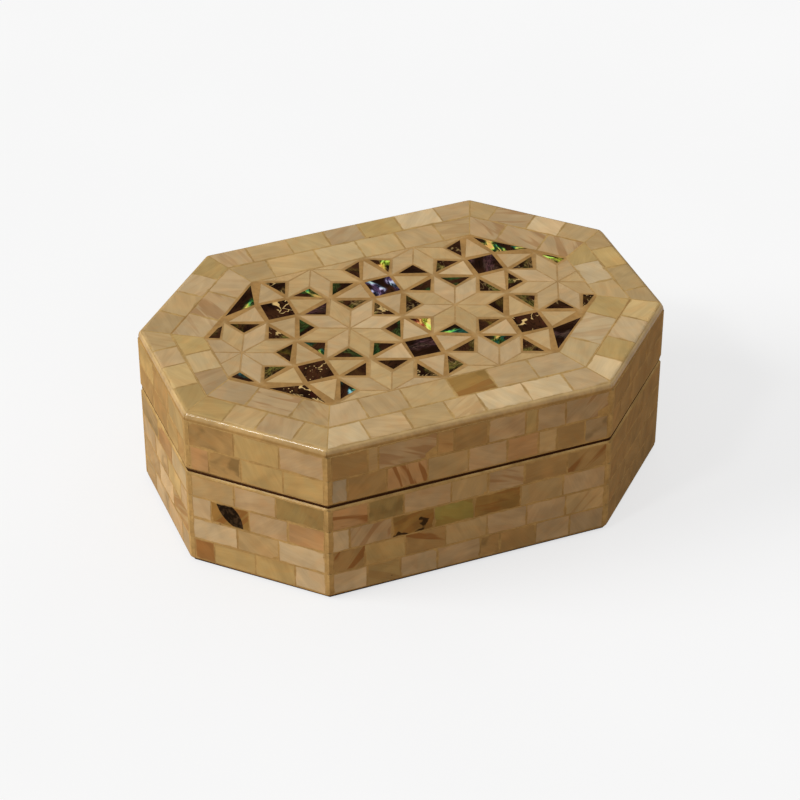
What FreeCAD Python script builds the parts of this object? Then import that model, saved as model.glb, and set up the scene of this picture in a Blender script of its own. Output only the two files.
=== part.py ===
import FreeCAD, Part
import math
import os
import random

# A long octagonal keepsake box, faced all over with a mosaic of shell tiles bedded in filler.
# Millimetres. The origin is under the middle of the box: +X along its length, -Y to the front, +Z up.

V = FreeCAD.Vector

# Outside of the closed box
LENGTH = 140.7
WIDTH = 100.0
HEIGHT = 50.4
SEAM_HEIGHT = 31.4       # where the lid meets the base
CORNER_CUT = 29.4        # how far each corner is cut back along both of its sides
EDGE_ROUND = 1.8         # radius round the top of the lid
EDGE_FLATS = 3           # flats that stand for that round
BEAD = 0.9               # bare filler along the rounded edge

# Layers of a wall, from the outside in
SIDE_FILLER = 2.0
BOARD = 5.0
WALL_LINING = 0.8

# Layers of the floor and of the lid top
FELT = 0.8
FLOOR_BOARD = 4.0
FLOOR_LINING = 1.2
TOP_FILLER = 2.4
TOP_BOARD = 4.0
TOP_LINING = 1.2

FELT_SETBACK = 1.0       # felt edge to the outside of the box
LINING_DROP = 1.2        # edge of the wall lining to the seam
LINING_CLEARANCE = 0.2   # floor or top lining to the boards round it

# Seam
SEAM_GROOVE = 0.6        # open groove between the two fillers
FILLER_EASE = 0.5        # chamfer along the open edges of the side filler

# Shell tiles
TILE_THICKNESS = 1.3
TILE_JOINT = 0.2         # hairline between two tiles of a row
ROW_JOINT = 0.3          # filler showing between two rows
CORNER_STRIP = 1.2       # filler from a tile to an upright corner
BASE_COURSES = 4
LID_COURSES = 2
BASE_COURSE_MARGIN = 0.7  # filler above and below the base courses
LID_COURSE_MARGIN = 0.6   # filler below the rim courses

# Tile lengths along each course, bottom of the base first, left to right as seen from outside.
# A course is stretched to fill its side.
LONG_SIDE_COURSES = (
    (10.0, 10.0, 11.0, 13.0, 6.0, 11.0, 10.5, 10.5),
    (9.5, 12.0, 12.0, 12.5, 12.0, 12.0, 12.0),
    (5.0, 12.5, 12.5, 12.0, 14.0, 13.0, 13.0),
    (10.5, 10.5, 14.0, 11.0, 11.0, 13.0, 12.0),
    (4.5, 11.5, 12.0, 12.0, 11.5, 9.5, 5.5, 8.5, 7.0),
    (10.5, 3.0, 17.0, 5.0, 10.0, 11.0, 3.5, 8.5, 13.0),
)
SHORT_SIDE_COURSES = (
    (6.5, 13.0, 12.5, 9.5),
    (14.0, 13.0, 14.5),
    (6.0, 12.0, 12.0, 11.5),
    (13.5, 13.0, 15.0),
    (6.0, 10.0, 13.0, 12.5),
    (14.0, 14.0, 13.5),
)

# Star mosaic on the lid
BORDER_SIDE = 18.7       # star field to the outside, along the front, back and cut corners
BORDER_END = 16.2        # star field to the outside, at the two ends
END_PITCHES = 1.73       # half the length of the star field, in star pitches
BORDER_TILE = 11.5       # about the length of a border tile
BORDER_WANDER = 0.12     # how unevenly border tiles are cut, as a share of their length
PETAL_MARGIN = 0.15      # filler round each piece of the mosaic
NOTCH_MARGIN = 0.75
POINT_MARGIN = 0.5
SQUARE_MARGIN = 0.75
CORNER_MARGIN = 0.4
HAND_SHIFT = 0.4         # how far a piece is laid out of true, as a share of its margin
HAND_TURN = 5.0          # and how far it is turned, in degrees for each millimetre of margin
SMALLEST_PIECE = 3.0     # area below which an offcut isn't laid
HAND_SEED = 4            # fixes the uneven cuts and turns

# Hinges
LID_OPENING = 100.0      # degrees
STOP_CLEARANCE = 4.0     # degrees left between the bevelled back edges of the open lid
AXIS_SETBACK = 1.6       # hinge axis to the back of the box
HINGE_SPREAD = 0.56      # between the middles of the hinges, as a share of the back
HINGE_LENGTH = 16.0
KNUCKLE_RADIUS = 1.45
KNUCKLE_GAP = 0.2        # between the ends of two knuckles
KNUCKLE_CLEARANCE = 0.3  # round a knuckle, to the wood and to the other leaf
PIN_RADIUS = 0.6
PIN_FIT = 0.02           # radial, where the base leaf grips the pin
PIN_PLAY = 0.05          # radial, where the lid leaf turns on it
PIN_PROUD = 0.3          # pin past each end of the hinge
LEAF_WIDTH = 4.4
LEAF_THICKNESS = 0.6
LEAF_DROP = 0.1          # leaf below the edge it is let into
MORTISE_CLEARANCE = 0.1
SCREW_SETBACK = 3.1      # screws to the hinge axis
SCREW_SPACING = 9.0
SCREW_HEAD_RADIUS = 1.0
SCREW_SHANK_RADIUS = 0.55
SCREW_HEAD_DEPTH = 0.45
SCREW_LENGTH = 5.0
SCREW_FACETS = 12        # small fasteners are made with few faces
SCREW_FIT = 0.02

TOLERANCE = 0.01

# Levels and places worked out from the sizes above
FLOOR_TOP = FELT + FLOOR_BOARD
TOP_FILLER_BOTTOM = HEIGHT - TOP_FILLER
TOP_BOARD_BOTTOM = TOP_FILLER_BOTTOM - TOP_BOARD
BASE_FILLER_TOP = SEAM_HEIGHT - SEAM_GROOVE / 2
RIM_FILLER_BOTTOM = SEAM_HEIGHT + SEAM_GROOVE / 2
WALL_INSIDE = SIDE_FILLER + BOARD
CORNER_REACH = LENGTH / 2 + WIDTH / 2 - CORNER_CUT   # |x| + |y| on the cut corners
AXIS_Y = WIDTH / 2 - AXIS_SETBACK
HINGE_SPACING = HINGE_SPREAD * (LENGTH - 2 * CORNER_CUT)
FIELD_REACH = CORNER_REACH - BORDER_SIDE * math.sqrt(2)
PITCH_X = (LENGTH / 2 - BORDER_END) / END_PITCHES    # star to star along the box
PITCH_Y = WIDTH / 2 - BORDER_SIDE                    # and across it
BEVEL_ANGLE = math.radians((LID_OPENING + STOP_CLEARANCE) / 2)

SIDE_NAMES = ("front", "front_right", "right", "back_right", "back", "back_left", "left", "front_left")


# Flat outlines, all convex and counterclockwise

def octagon_points(half_length, half_width, corner_reach):
    """Corners of a long octagon, from the left end of its front side."""
    side_x = corner_reach - half_width
    end_y = corner_reach - half_length
    return [V(-side_x, -half_width), V(side_x, -half_width),
            V(half_length, -end_y), V(half_length, end_y),
            V(side_x, half_width), V(-side_x, half_width),
            V(-half_length, end_y), V(-half_length, -end_y)]


def octagon(depth):
    """The box's outline moved in from the outside by a depth."""
    return octagon_points(LENGTH / 2 - depth, WIDTH / 2 - depth, CORNER_REACH - depth * math.sqrt(2))


def field_outline():
    """The star field on the lid."""
    return octagon_points(LENGTH / 2 - BORDER_END, WIDTH / 2 - BORDER_SIDE, FIELD_REACH)


def edges_of(outline):
    """Each edge of an outline as its start and end."""
    return list(zip(outline, outline[1:] + outline[:1]))


def inward_normal(start, end):
    """Unit vector to the left of an edge."""
    along = (end - start).normalize()
    return V(-along.y, along.x)


def clip(outline, point, inward):
    """The part of an outline on the inward side of a line through a point."""
    kept = []
    for start, end in edges_of(outline):
        start_depth = (start - point).dot(inward)
        end_depth = (end - point).dot(inward)
        if start_depth >= 0:
            kept.append(start)
        if start_depth * end_depth < 0:
            kept.append(start + (end - start) * (start_depth / (start_depth - end_depth)))
    return kept


def inset(outline, margin):
    """An outline with every edge moved in by a margin."""
    kept = outline
    for start, end in edges_of(outline):
        inward = inward_normal(start, end)
        kept = clip(kept, start + inward * margin, inward)
    return kept


def clip_to(outline, limits):
    """The part of an outline inside another one."""
    for start, end in edges_of(limits):
        outline = clip(outline, start, inward_normal(start, end))
    return outline


def without_doubles(outline):
    """An outline without points that lie on their neighbours."""
    return [end for start, end in edges_of(outline) if start.distanceToPoint(end) > TOLERANCE]


def area_of(outline):
    """Signed area, positive when counterclockwise."""
    return sum(start.x * end.y - end.x * start.y for start, end in edges_of(outline)) / 2


# Solids from outlines

def prism(outline, bottom, top):
    """An upright solid on a flat outline."""
    corners = [V(point.x, point.y, bottom) for point in outline]
    face = Part.Face(Part.makePolygon(corners + corners[:1]))
    return face.extrude(V(0, 0, top - bottom))


def stacked(rings):
    """A solid with flat facets between rings of points, each ring level and of the same count."""
    faces = [Part.Face(Part.makePolygon(points + points[:1])) for points in (rings[0], rings[-1])]
    for lower, upper in zip(rings, rings[1:]):
        for (start, end), (upper_start, upper_end) in zip(edges_of(lower), edges_of(upper)):
            faces.append(Part.Face(Part.makePolygon([start, end, upper_end, upper_start, start])))
    solid = Part.Solid(Part.Shell(faces))
    if solid.Volume < 0:
        solid.reverse()
    return solid


def ring(outer_depth, inner_depth, bottom, top):
    """An octagonal band between two depths in from the outside."""
    return prism(octagon(outer_depth), bottom, top).cut(prism(octagon(inner_depth), bottom, top))


def slab(x_range, y_range, z_range):
    """A block between two values along each axis."""
    corner = V(min(x_range), min(y_range), min(z_range))
    return Part.makeBox(abs(x_range[1] - x_range[0]), abs(y_range[1] - y_range[0]),
                        abs(z_range[1] - z_range[0]), corner)


def level_edges(solid, height):
    """Edges of a solid that lie at one height."""
    return [edge for edge in solid.Edges
            if all(abs(vertex.Z - height) < TOLERANCE for vertex in edge.Vertexes)]


def mitred_boards(bottom, top):
    """Eight boards standing in a ring, mitred where they meet."""
    outside = octagon(SIDE_FILLER)
    inside = octagon(WALL_INSIDE)
    boards = []
    for (outer_start, outer_end), (inner_start, inner_end) in zip(edges_of(outside), edges_of(inside)):
        boards.append(prism([outer_start, outer_end, inner_end, inner_start], bottom, top))
    return boards


# Hinges

def along_x(radius, start, end):
    """A rod along the hinge axis."""
    return Part.makeCylinder(radius, end - start, V(start, AXIS_Y, SEAM_HEIGHT), V(1, 0, 0))


def hinge_middles():
    """Where the left and right hinges sit along the back."""
    return {"left_hinge": -HINGE_SPACING / 2, "right_hinge": HINGE_SPACING / 2}


def knuckle_spans(middle):
    """Ends of the three knuckles; the outer two belong to the base leaf."""
    knuckle = (HINGE_LENGTH - 2 * KNUCKLE_GAP) / 3
    start = middle - HINGE_LENGTH / 2
    step = knuckle + KNUCKLE_GAP
    return [(start + step * place, start + step * place + knuckle) for place in range(3)]


def screw_section(x, radius, height):
    """Points round a screw at one height."""
    y = AXIS_Y - SCREW_SETBACK
    turns = [2 * math.pi * place / SCREW_FACETS for place in range(SCREW_FACETS)]
    return [V(x + radius * math.cos(turn), y + radius * math.sin(turn), height) for turn in turns]


def screw_form(x, up, extra=0.0):
    """A countersunk screw through a leaf, or with extra radius the hole for it; up is 1 in the lid."""
    top = SEAM_HEIGHT + up * LEAF_DROP
    neck = top + up * SCREW_HEAD_DEPTH
    tip = top + up * (SCREW_LENGTH + extra)
    return stacked([screw_section(x, SCREW_HEAD_RADIUS + extra, top),
                    screw_section(x, SCREW_SHANK_RADIUS + extra, neck),
                    screw_section(x, SCREW_SHANK_RADIUS + extra, tip)])


def screw_places(middle):
    """Where the two screws of a leaf sit along X."""
    return [middle - SCREW_SPACING / 2, middle + SCREW_SPACING / 2]


def hinge_leaf(middle, up):
    """One leaf with its knuckles; up is -1 for the base leaf and 1 for the lid leaf."""
    spans = knuckle_spans(middle)
    own_spans = spans[1:2] if up > 0 else spans[0::2]
    other_spans = spans[0::2] if up > 0 else spans[1:2]
    play = PIN_PLAY if up > 0 else PIN_FIT
    near = SEAM_HEIGHT + up * LEAF_DROP
    leaf = slab((middle - HINGE_LENGTH / 2, middle + HINGE_LENGTH / 2),
                (AXIS_Y - LEAF_WIDTH, AXIS_Y), (near, near + up * LEAF_THICKNESS))
    for start, end in other_spans:
        leaf = leaf.cut(along_x(KNUCKLE_RADIUS + KNUCKLE_CLEARANCE, start - KNUCKLE_GAP, end + KNUCKLE_GAP))
    for start, end in own_spans:
        leaf = leaf.fuse(along_x(KNUCKLE_RADIUS, start, end))
    leaf = leaf.cut(along_x(PIN_RADIUS + play, middle - HINGE_LENGTH, middle + HINGE_LENGTH))
    for x in screw_places(middle):
        leaf = leaf.cut(screw_form(x, up, SCREW_FIT))
    return leaf.removeSplitter()


def hinge_pin(middle):
    """The pin, a little proud of the hinge at both ends."""
    reach = HINGE_LENGTH / 2 + PIN_PROUD
    return along_x(PIN_RADIUS, middle - reach, middle + reach)


def hinge_relief(up):
    """All that the back edge of the base (up -1) or the lid (up 1) gives way to."""
    reach = AXIS_SETBACK + BOARD
    bevel = [V(-LENGTH / 2, AXIS_Y, SEAM_HEIGHT), V(-LENGTH / 2, AXIS_Y + reach, SEAM_HEIGHT),
             V(-LENGTH / 2, AXIS_Y + reach, SEAM_HEIGHT + up * reach * math.tan(BEVEL_ANGLE))]
    tools = [Part.Face(Part.makePolygon(bevel + bevel[:1])).extrude(V(LENGTH, 0, 0))]
    for middle in hinge_middles().values():
        half_length = HINGE_LENGTH / 2 + MORTISE_CLEARANCE
        cove_half = HINGE_LENGTH / 2 + PIN_PROUD + KNUCKLE_CLEARANCE
        tools.append(slab((middle - half_length, middle + half_length),
                          (AXIS_Y - LEAF_WIDTH - MORTISE_CLEARANCE, AXIS_Y),
                          (SEAM_HEIGHT, SEAM_HEIGHT + up * (LEAF_DROP + LEAF_THICKNESS))))
        tools.append(along_x(KNUCKLE_RADIUS + KNUCKLE_CLEARANCE, middle - cove_half, middle + cove_half))
        tools += [screw_form(x, up, SCREW_FIT) for x in screw_places(middle)]
    return Part.makeCompound(tools)


# Shell courses on the sides

def course_levels(bottom, top, count):
    """Bottom and top of each course of tiles, from the lowest up."""
    pitch = (top - bottom) / count
    return [(bottom + pitch * place + ROW_JOINT / 2, bottom + pitch * (place + 1) - ROW_JOINT / 2)
            for place in range(count)]


def side_block(start, end, span, levels):
    """A tile, or the channel for a row of them, let into a side and flush with its face."""
    along = (end - start).normalize()
    near = start + along * span[0]
    far = start + along * span[1]
    outline = [V(near.x, near.y, levels[0]), V(far.x, far.y, levels[0]),
               V(far.x, far.y, levels[1]), V(near.x, near.y, levels[1])]
    face = Part.Face(Part.makePolygon(outline + outline[:1]))
    return face.extrude(inward_normal(start, end) * TILE_THICKNESS)


def row_spans(lengths, room):
    """Start and end of each tile of a row that fills a channel, with hairlines between them."""
    stretch = (room + TILE_JOINT) / sum(lengths)
    spans = []
    place = CORNER_STRIP
    for length in lengths:
        spans.append((place, place + length * stretch - TILE_JOINT))
        place += length * stretch
    return spans


def side_course(course, levels):
    """The channels of one course, one for each side of the box, and its tiles."""
    channels = []
    tiles = []
    for name, (start, end) in zip(SIDE_NAMES, edges_of(octagon(0))):
        lengths = (LONG_SIDE_COURSES if name in ("front", "back") else SHORT_SIDE_COURSES)[course]
        if name in ("left", "right"):
            lengths = lengths[::-1]
        room = start.distanceToPoint(end) - 2 * CORNER_STRIP
        channels.append(side_block(start, end, (CORNER_STRIP, CORNER_STRIP + room), levels))
        tiles += [side_block(start, end, span, levels) for span in row_spans(lengths, room)]
    return channels, tiles


def faced_sides(filler, first_course, levels, relief):
    """The filler round the sides with its channels cut, and the courses of tiles laid in them."""
    filler = filler.cut(relief)
    courses = []
    for place, span in enumerate(levels):
        channels, tiles = side_course(first_course + place, span)
        filler = filler.cut(channels)
        courses.append(Part.makeCompound([tile.cut(relief) for tile in tiles]))
    return filler, courses


# Star mosaic on the lid top, drawn in star pitches from the middle of the lid

STARS = ((-1.5, 0), (-0.5, 0), (0.5, 0), (1.5, 0), (-0.5, -1), (0.5, -1), (-0.5, 1), (0.5, 1))
SQUARES = ((-1, -0.5), (0, -0.5), (1, -0.5), (-1, 0.5), (0, 0.5), (1, 0.5))
TIP = 0.5                                        # from a star's middle to the tip of a petal
SHOULDER = TIP / (2 * math.cos(math.pi / 8))     # and to the widest part of one
SQUARE_HALF = TIP * (1 - math.sqrt(0.5))         # half the side of the square between four stars


def polar(centre, radius, degrees):
    """A point at a distance and angle from a centre."""
    angle = math.radians(degrees)
    return V(centre[0] + radius * math.cos(angle), centre[1] + radius * math.sin(angle))


def star_petals(centre):
    """Eight rhombi that meet at the star's centre and touch the next stars at their tips."""
    return [[polar(centre, 0, 0), polar(centre, SHOULDER, turn - 22.5), polar(centre, TIP, turn),
             polar(centre, SHOULDER, turn + 22.5)]
            for turn in range(0, 360, 45)]


def star_notches(centre):
    """Eight triangles between the tips of a star."""
    return [[polar(centre, SHOULDER, turn + 22.5), polar(centre, TIP, turn), polar(centre, TIP, turn + 45)]
            for turn in range(0, 360, 45)]


def square_outline(centre):
    """The square in the middle of four stars."""
    return [polar(centre, SQUARE_HALF * math.sqrt(2), turn) for turn in (225, 315, 45, 135)]


def square_points(centre):
    """Four triangles, each from one edge of the square to the place where two stars touch."""
    return [[end, start, polar(centre, TIP, turn)]
            for (start, end), turn in zip(edges_of(square_outline(centre)), (270, 0, 90, 180))]


def on_lid(outline):
    """An outline in star pitches as one in millimetres, counterclockwise."""
    outline = [V(point.x * PITCH_X, point.y * PITCH_Y) for point in outline]
    return outline if area_of(outline) > 0 else outline[::-1]


def corner_triangles():
    """A long triangle across each cut corner of the field, in millimetres."""
    square_corner = on_lid(square_outline(SQUARES[-1]))[2]
    tip_x = STARS[3][0] * PITCH_X
    outline = [square_corner, V(tip_x, FIELD_REACH - tip_x), V(FIELD_REACH - PITCH_Y, PITCH_Y)]
    triangles = []
    for x_way, y_way in ((1, 1), (-1, 1), (-1, -1), (1, -1)):
        turned = [V(point.x * x_way, point.y * y_way) for point in outline]
        triangles.append(turned if x_way * y_way > 0 else turned[::-1])
    return triangles


def lid_top_form():
    """The filler slab on the lid before any pocket is cut, with its upper edge rounded in flats."""
    levels = [(0.0, TOP_FILLER_BOTTOM)]
    for step in range(EDGE_FLATS + 1):
        turn = math.pi / 2 * step / EDGE_FLATS
        levels.append((EDGE_ROUND * (1 - math.cos(turn)), HEIGHT - EDGE_ROUND * (1 - math.sin(turn))))
    return stacked([[V(point.x, point.y, height) for point in octagon(depth)] for depth, height in levels])


def border_rows(inner, outer, hand):
    """Rows of tiles between two octagons: the channel of each row, and its tiles cut at uneven lengths."""
    channels = []
    tiles = []
    for (inner_start, inner_end), (outer_start, outer_end) in zip(edges_of(inner), edges_of(outer)):
        channel = inset([outer_start, outer_end, inner_end, inner_start], ROW_JOINT / 2)
        along = (outer_end - outer_start).normalize()
        length = outer_start.distanceToPoint(outer_end)
        count = max(1, round(length / BORDER_TILE))
        rest = channel
        for place in range(1, count):
            cut = length * (place + hand.uniform(-BORDER_WANDER, BORDER_WANDER)) / count
            tiles.append(clip(rest, outer_start + along * (cut - TILE_JOINT / 2), along * -1))
            rest = clip(rest, outer_start + along * (cut + TILE_JOINT / 2), along)
        tiles.append(rest)
        channels.append(channel)
    return [inlay(channel) for channel in channels], [inlay(tile) for tile in tiles]


def inlay(outline):
    """A flat piece let into the lid top, flush with it."""
    return prism(without_doubles(outline), HEIGHT - TILE_THICKNESS, HEIGHT)


def laid_by_hand(outline, margin, hand):
    """A piece laid a little out of true, by no more than its margin allows."""
    middle = sum(outline, V()) * (1 / len(outline))
    shift = V(hand.uniform(-1, 1), hand.uniform(-1, 1)) * (HAND_SHIFT * margin)
    turn = FreeCAD.Rotation(V(0, 0, 1), hand.uniform(-1, 1) * HAND_TURN * margin)
    return [middle + shift + turn.multVec(point - middle) for point in outline]


def star_inlays(outlines, margin, hand):
    """Pieces cut to the star field, with filler left round each and offcuts left out."""
    pieces = []
    for outline in outlines:
        outline = without_doubles(clip_to(outline, field_outline()))
        outline = without_doubles(inset(outline, margin))
        if len(outline) > 2 and area_of(outline) > SMALLEST_PIECE:
            pieces.append(inlay(laid_by_hand(outline, margin, hand)))
    return pieces


def star_field(hand):
    """Every group of pieces inside the border, by node name."""
    petals = [on_lid(petal) for centre in STARS for petal in star_petals(centre)]
    notches = [on_lid(notch) for centre in STARS for notch in star_notches(centre)]
    squares = [on_lid(square_outline(centre)) for centre in SQUARES]
    points = [on_lid(point) for centre in SQUARES for point in square_points(centre)]
    return {
        "star_petals": star_inlays(petals, PETAL_MARGIN, hand),
        "star_notch_triangles": star_inlays(notches, NOTCH_MARGIN, hand),
        "square_points": star_inlays(points, POINT_MARGIN, hand),
        "dark_squares": star_inlays(squares, SQUARE_MARGIN, hand),
        "corner_triangles": star_inlays(corner_triangles(), CORNER_MARGIN, hand),
    }


def lid_top_mosaic():
    """The filler on the lid top with all its pockets cut, and what is laid in them, by node name."""
    hand = random.Random(HAND_SEED)
    form = lid_top_form()
    field = field_outline()
    middle = [(inner + outer) * 0.5 for inner, outer in zip(field, octagon(0))]
    inner_channels, inner_tiles = border_rows(field, middle, hand)
    outer_channels, outer_tiles = border_rows(middle, octagon(BEAD - ROW_JOINT / 2), hand)
    stars = star_field(hand)
    pockets = [piece for pieces in stars.values() for piece in pieces]
    groups = {**stars, "inner_border_tiles": inner_tiles,
              "outer_border_tiles": [tile.common(form) for tile in outer_tiles]}
    filler = form.cut(inner_channels + outer_channels + pockets)
    return filler, {name: Part.makeCompound(pieces) for name, pieces in groups.items()}


# The two halves of the box, each a table of node name to shape

def base_parts():
    """Everything that stays on the table."""
    parts = {}
    relief = hinge_relief(-1)
    for name, board in zip(SIDE_NAMES, mitred_boards(FLOOR_TOP, SEAM_HEIGHT)):
        parts[f"base_{name}_board"] = board.cut(relief) if "back" in name else board
    parts["base_floor_board"] = prism(octagon(SIDE_FILLER), FELT, FLOOR_TOP)
    parts["underside_felt"] = prism(octagon(FELT_SETBACK), 0, FELT)

    filler = prism(octagon(0), FELT, BASE_FILLER_TOP)
    filler = filler.makeChamfer(FILLER_EASE, level_edges(filler, BASE_FILLER_TOP) + level_edges(filler, FELT))
    filler = filler.cut(prism(octagon(SIDE_FILLER), FELT, BASE_FILLER_TOP))
    levels = course_levels(FELT + BASE_COURSE_MARGIN, BASE_FILLER_TOP - BASE_COURSE_MARGIN, BASE_COURSES)
    parts["base_filler"], courses = faced_sides(filler, 0, levels, relief)
    for number, tiles in enumerate(courses, start=1):
        parts[f"base_shell_course_{number}"] = tiles

    lining_top = FLOOR_TOP + FLOOR_LINING
    parts["base_floor_lining"] = prism(octagon(WALL_INSIDE + LINING_CLEARANCE), FLOOR_TOP, lining_top)
    parts["base_wall_lining"] = ring(WALL_INSIDE, WALL_INSIDE + WALL_LINING, lining_top, SEAM_HEIGHT - LINING_DROP)
    return parts


def lid_parts():
    """Everything that swings up."""
    parts = {}
    relief = hinge_relief(1)
    for name, rail in zip(SIDE_NAMES, mitred_boards(SEAM_HEIGHT, TOP_BOARD_BOTTOM)):
        parts[f"lid_{name}_rail"] = rail.cut(relief) if "back" in name else rail
    parts["lid_top_board"] = prism(octagon(SIDE_FILLER), TOP_BOARD_BOTTOM, TOP_FILLER_BOTTOM)

    filler = prism(octagon(0), RIM_FILLER_BOTTOM, TOP_FILLER_BOTTOM)
    filler = filler.makeChamfer(FILLER_EASE, level_edges(filler, RIM_FILLER_BOTTOM))
    filler = filler.cut(prism(octagon(SIDE_FILLER), RIM_FILLER_BOTTOM, TOP_FILLER_BOTTOM))
    levels = course_levels(RIM_FILLER_BOTTOM + LID_COURSE_MARGIN, TOP_FILLER_BOTTOM, LID_COURSES)
    parts["lid_rim_filler"], courses = faced_sides(filler, BASE_COURSES, levels, relief)
    for number, tiles in enumerate(courses, start=1):
        parts[f"lid_shell_course_{number}"] = tiles

    parts["lid_top_filler"], mosaic = lid_top_mosaic()
    parts.update(mosaic)

    lining_bottom = TOP_BOARD_BOTTOM - TOP_LINING
    parts["lid_top_lining"] = prism(octagon(WALL_INSIDE + LINING_CLEARANCE), lining_bottom, TOP_BOARD_BOTTOM)
    parts["lid_rim_lining"] = ring(WALL_INSIDE, WALL_INSIDE + WALL_LINING, SEAM_HEIGHT + LINING_DROP, lining_bottom)
    return parts


def hinge_parts():
    """Two butt hinges and their screws."""
    parts = {}
    middles = hinge_middles()
    for name, middle in middles.items():
        parts[f"{name}_base_leaf"] = hinge_leaf(middle, -1)
        parts[f"{name}_lid_leaf"] = hinge_leaf(middle, 1)
        parts[f"{name}_pin"] = hinge_pin(middle)
    for name, up in (("base_hinge_screws", -1), ("lid_hinge_screws", 1)):
        parts[name] = Part.makeCompound([screw_form(x, up) for middle in middles.values()
                                         for x in screw_places(middle)])
    return parts


os.makedirs("parts", exist_ok=True)
for node, shape in {**base_parts(), **lid_parts(), **hinge_parts()}.items():
    shape.exportStep(f"parts/{node}.step")
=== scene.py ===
import math

import bmesh
import bpy
import numpy as np
from mathutils import Matrix, Vector, kdtree, noise


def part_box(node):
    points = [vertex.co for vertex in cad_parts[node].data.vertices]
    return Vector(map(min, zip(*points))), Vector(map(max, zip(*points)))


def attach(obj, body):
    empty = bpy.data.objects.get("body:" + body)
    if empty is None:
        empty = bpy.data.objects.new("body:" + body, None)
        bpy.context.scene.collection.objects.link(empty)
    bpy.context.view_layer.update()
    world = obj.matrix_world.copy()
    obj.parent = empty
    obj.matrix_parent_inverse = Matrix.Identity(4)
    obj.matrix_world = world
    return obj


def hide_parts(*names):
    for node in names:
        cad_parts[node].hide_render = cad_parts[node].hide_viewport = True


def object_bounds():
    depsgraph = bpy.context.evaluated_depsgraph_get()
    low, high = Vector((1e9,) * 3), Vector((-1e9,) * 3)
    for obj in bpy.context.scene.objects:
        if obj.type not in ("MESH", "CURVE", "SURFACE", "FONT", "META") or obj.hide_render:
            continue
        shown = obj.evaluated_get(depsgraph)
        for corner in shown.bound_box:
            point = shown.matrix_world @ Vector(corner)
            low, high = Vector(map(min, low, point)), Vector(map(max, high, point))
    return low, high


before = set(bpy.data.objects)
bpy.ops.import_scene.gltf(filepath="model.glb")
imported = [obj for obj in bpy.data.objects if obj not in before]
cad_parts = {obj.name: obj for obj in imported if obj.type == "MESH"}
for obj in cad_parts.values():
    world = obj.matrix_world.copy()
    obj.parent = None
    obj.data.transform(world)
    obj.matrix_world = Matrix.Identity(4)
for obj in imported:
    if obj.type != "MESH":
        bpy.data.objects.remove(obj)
CAD_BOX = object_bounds()

bl_info = {
    "name": "Shell mosaic box",
    "version": (1, 0, 0),
    "blender": (4, 5, 0),
    "location": "View3D > Sidebar > Mosaic box",
    "description": "Dresses the solids of an octagonal box with shell tiles, filler, velvet and brass",
    "category": "Object",
}

MM = 0.001
TINY = 0.001 * MM                           # two points nearer than this are one
SORTING_LINE = Vector((1.0, 0.618, 0.382))  # no two pieces share a place along it

# Heights on the box, in millimetres
SEAM_HEIGHT = 31.4      # where the lid meets the base
LEDGE_HEIGHT = 48.3     # painted shade under the bead of filler round the lid
BEAD_HEIGHT = 48.6      # foot of the bead
CREST_HEIGHT = 49.9     # crest of the bead, painted lighter there as a highlight and some wear
COURSE_HEIGHTS = (5, 12.3, 19.5, 27, 36, 44)

# Bodies of the frame and the solids that each operator dresses
BASE = "base"
LID = "lid"
SIDE_COURSES = {
    **{f"base_shell_course_{number}": BASE for number in range(1, 5)},
    **{f"lid_shell_course_{number}": LID for number in range(1, 3)},
}
BORDER_TILES = ("inner_border_tiles", "outer_border_tiles")
STAR_PIECES = ("star_petals", "square_points")
DARK_PIECES = ("star_notch_triangles", "dark_squares", "corner_triangles")
SHELL_NODES = (*SIDE_COURSES, *BORDER_TILES, *STAR_PIECES, *DARK_PIECES)
SIDE_NAMES = ("front", "front_right", "right", "back_right", "back", "back_left", "left", "front_left")


# Colours

def linear(red, green, blue):
    """A colour as it shows on a screen, each channel 0 to 255, in the renderer's linear values."""
    channels = []
    for value in (red / 255, green / 255, blue / 255):
        channels.append(value / 12.92 if value <= 0.04045 else ((value + 0.055) / 1.055) ** 2.4)
    return (*channels, 1.0)


# Pale shell, from the commonest tint to the rarest
PALE_TINTS = {
    "cream": linear(178, 149, 102),
    "mauve": linear(177, 149, 109),
    "white": linear(197, 172, 131),
    "honey": linear(180, 151, 97),
    "tan": linear(165, 132, 83),
    "pink": linear(181, 141, 94),
    "grey": linear(162, 144, 114),
    "amber": linear(156, 120, 64),
    "olive": linear(155, 130, 80),
    "green": linear(149, 133, 70),
    "brown": linear(148, 106, 60),
}

# Dark shell: the cast of each sheen and its brightest glint
DARK_SHEENS = {
    "maroon": (linear(78, 42, 24), linear(176, 128, 80)),
    "gold": (linear(150, 122, 46), linear(238, 218, 120)),
    "olive": (linear(102, 88, 42), linear(196, 184, 92)),
    "green": (linear(44, 78, 34), linear(206, 222, 96)),
    "teal": (linear(36, 76, 64), linear(150, 222, 190)),
    "blue": (linear(60, 58, 84), linear(206, 222, 236)),
    "violet": (linear(86, 60, 56), linear(166, 140, 150)),
}


def place_in(run, name):
    """Where a named colour sits along a run of colours, from 0 to 1."""
    return list(run).index(name) / (len(run) - 1)


def tint(name):
    return place_in(PALE_TINTS, name)


def sheen(name):
    return place_in(DARK_SHEENS, name)


# Looks of single pieces that stand out

def pale(name, tone, streak=0.0, smoke=0.0):
    """A tint, how light it is, and its share of brown streaks and smoky patches."""
    return {"tint": tint(name), "tone": tone, "streak": streak, "smoke": smoke}


def dark(name, glow, curl=0.0):
    """A sheen, how strongly it glows, and its share of gold curls."""
    return {"sheen": sheen(name), "glow": glow, "curl": curl}


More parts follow.
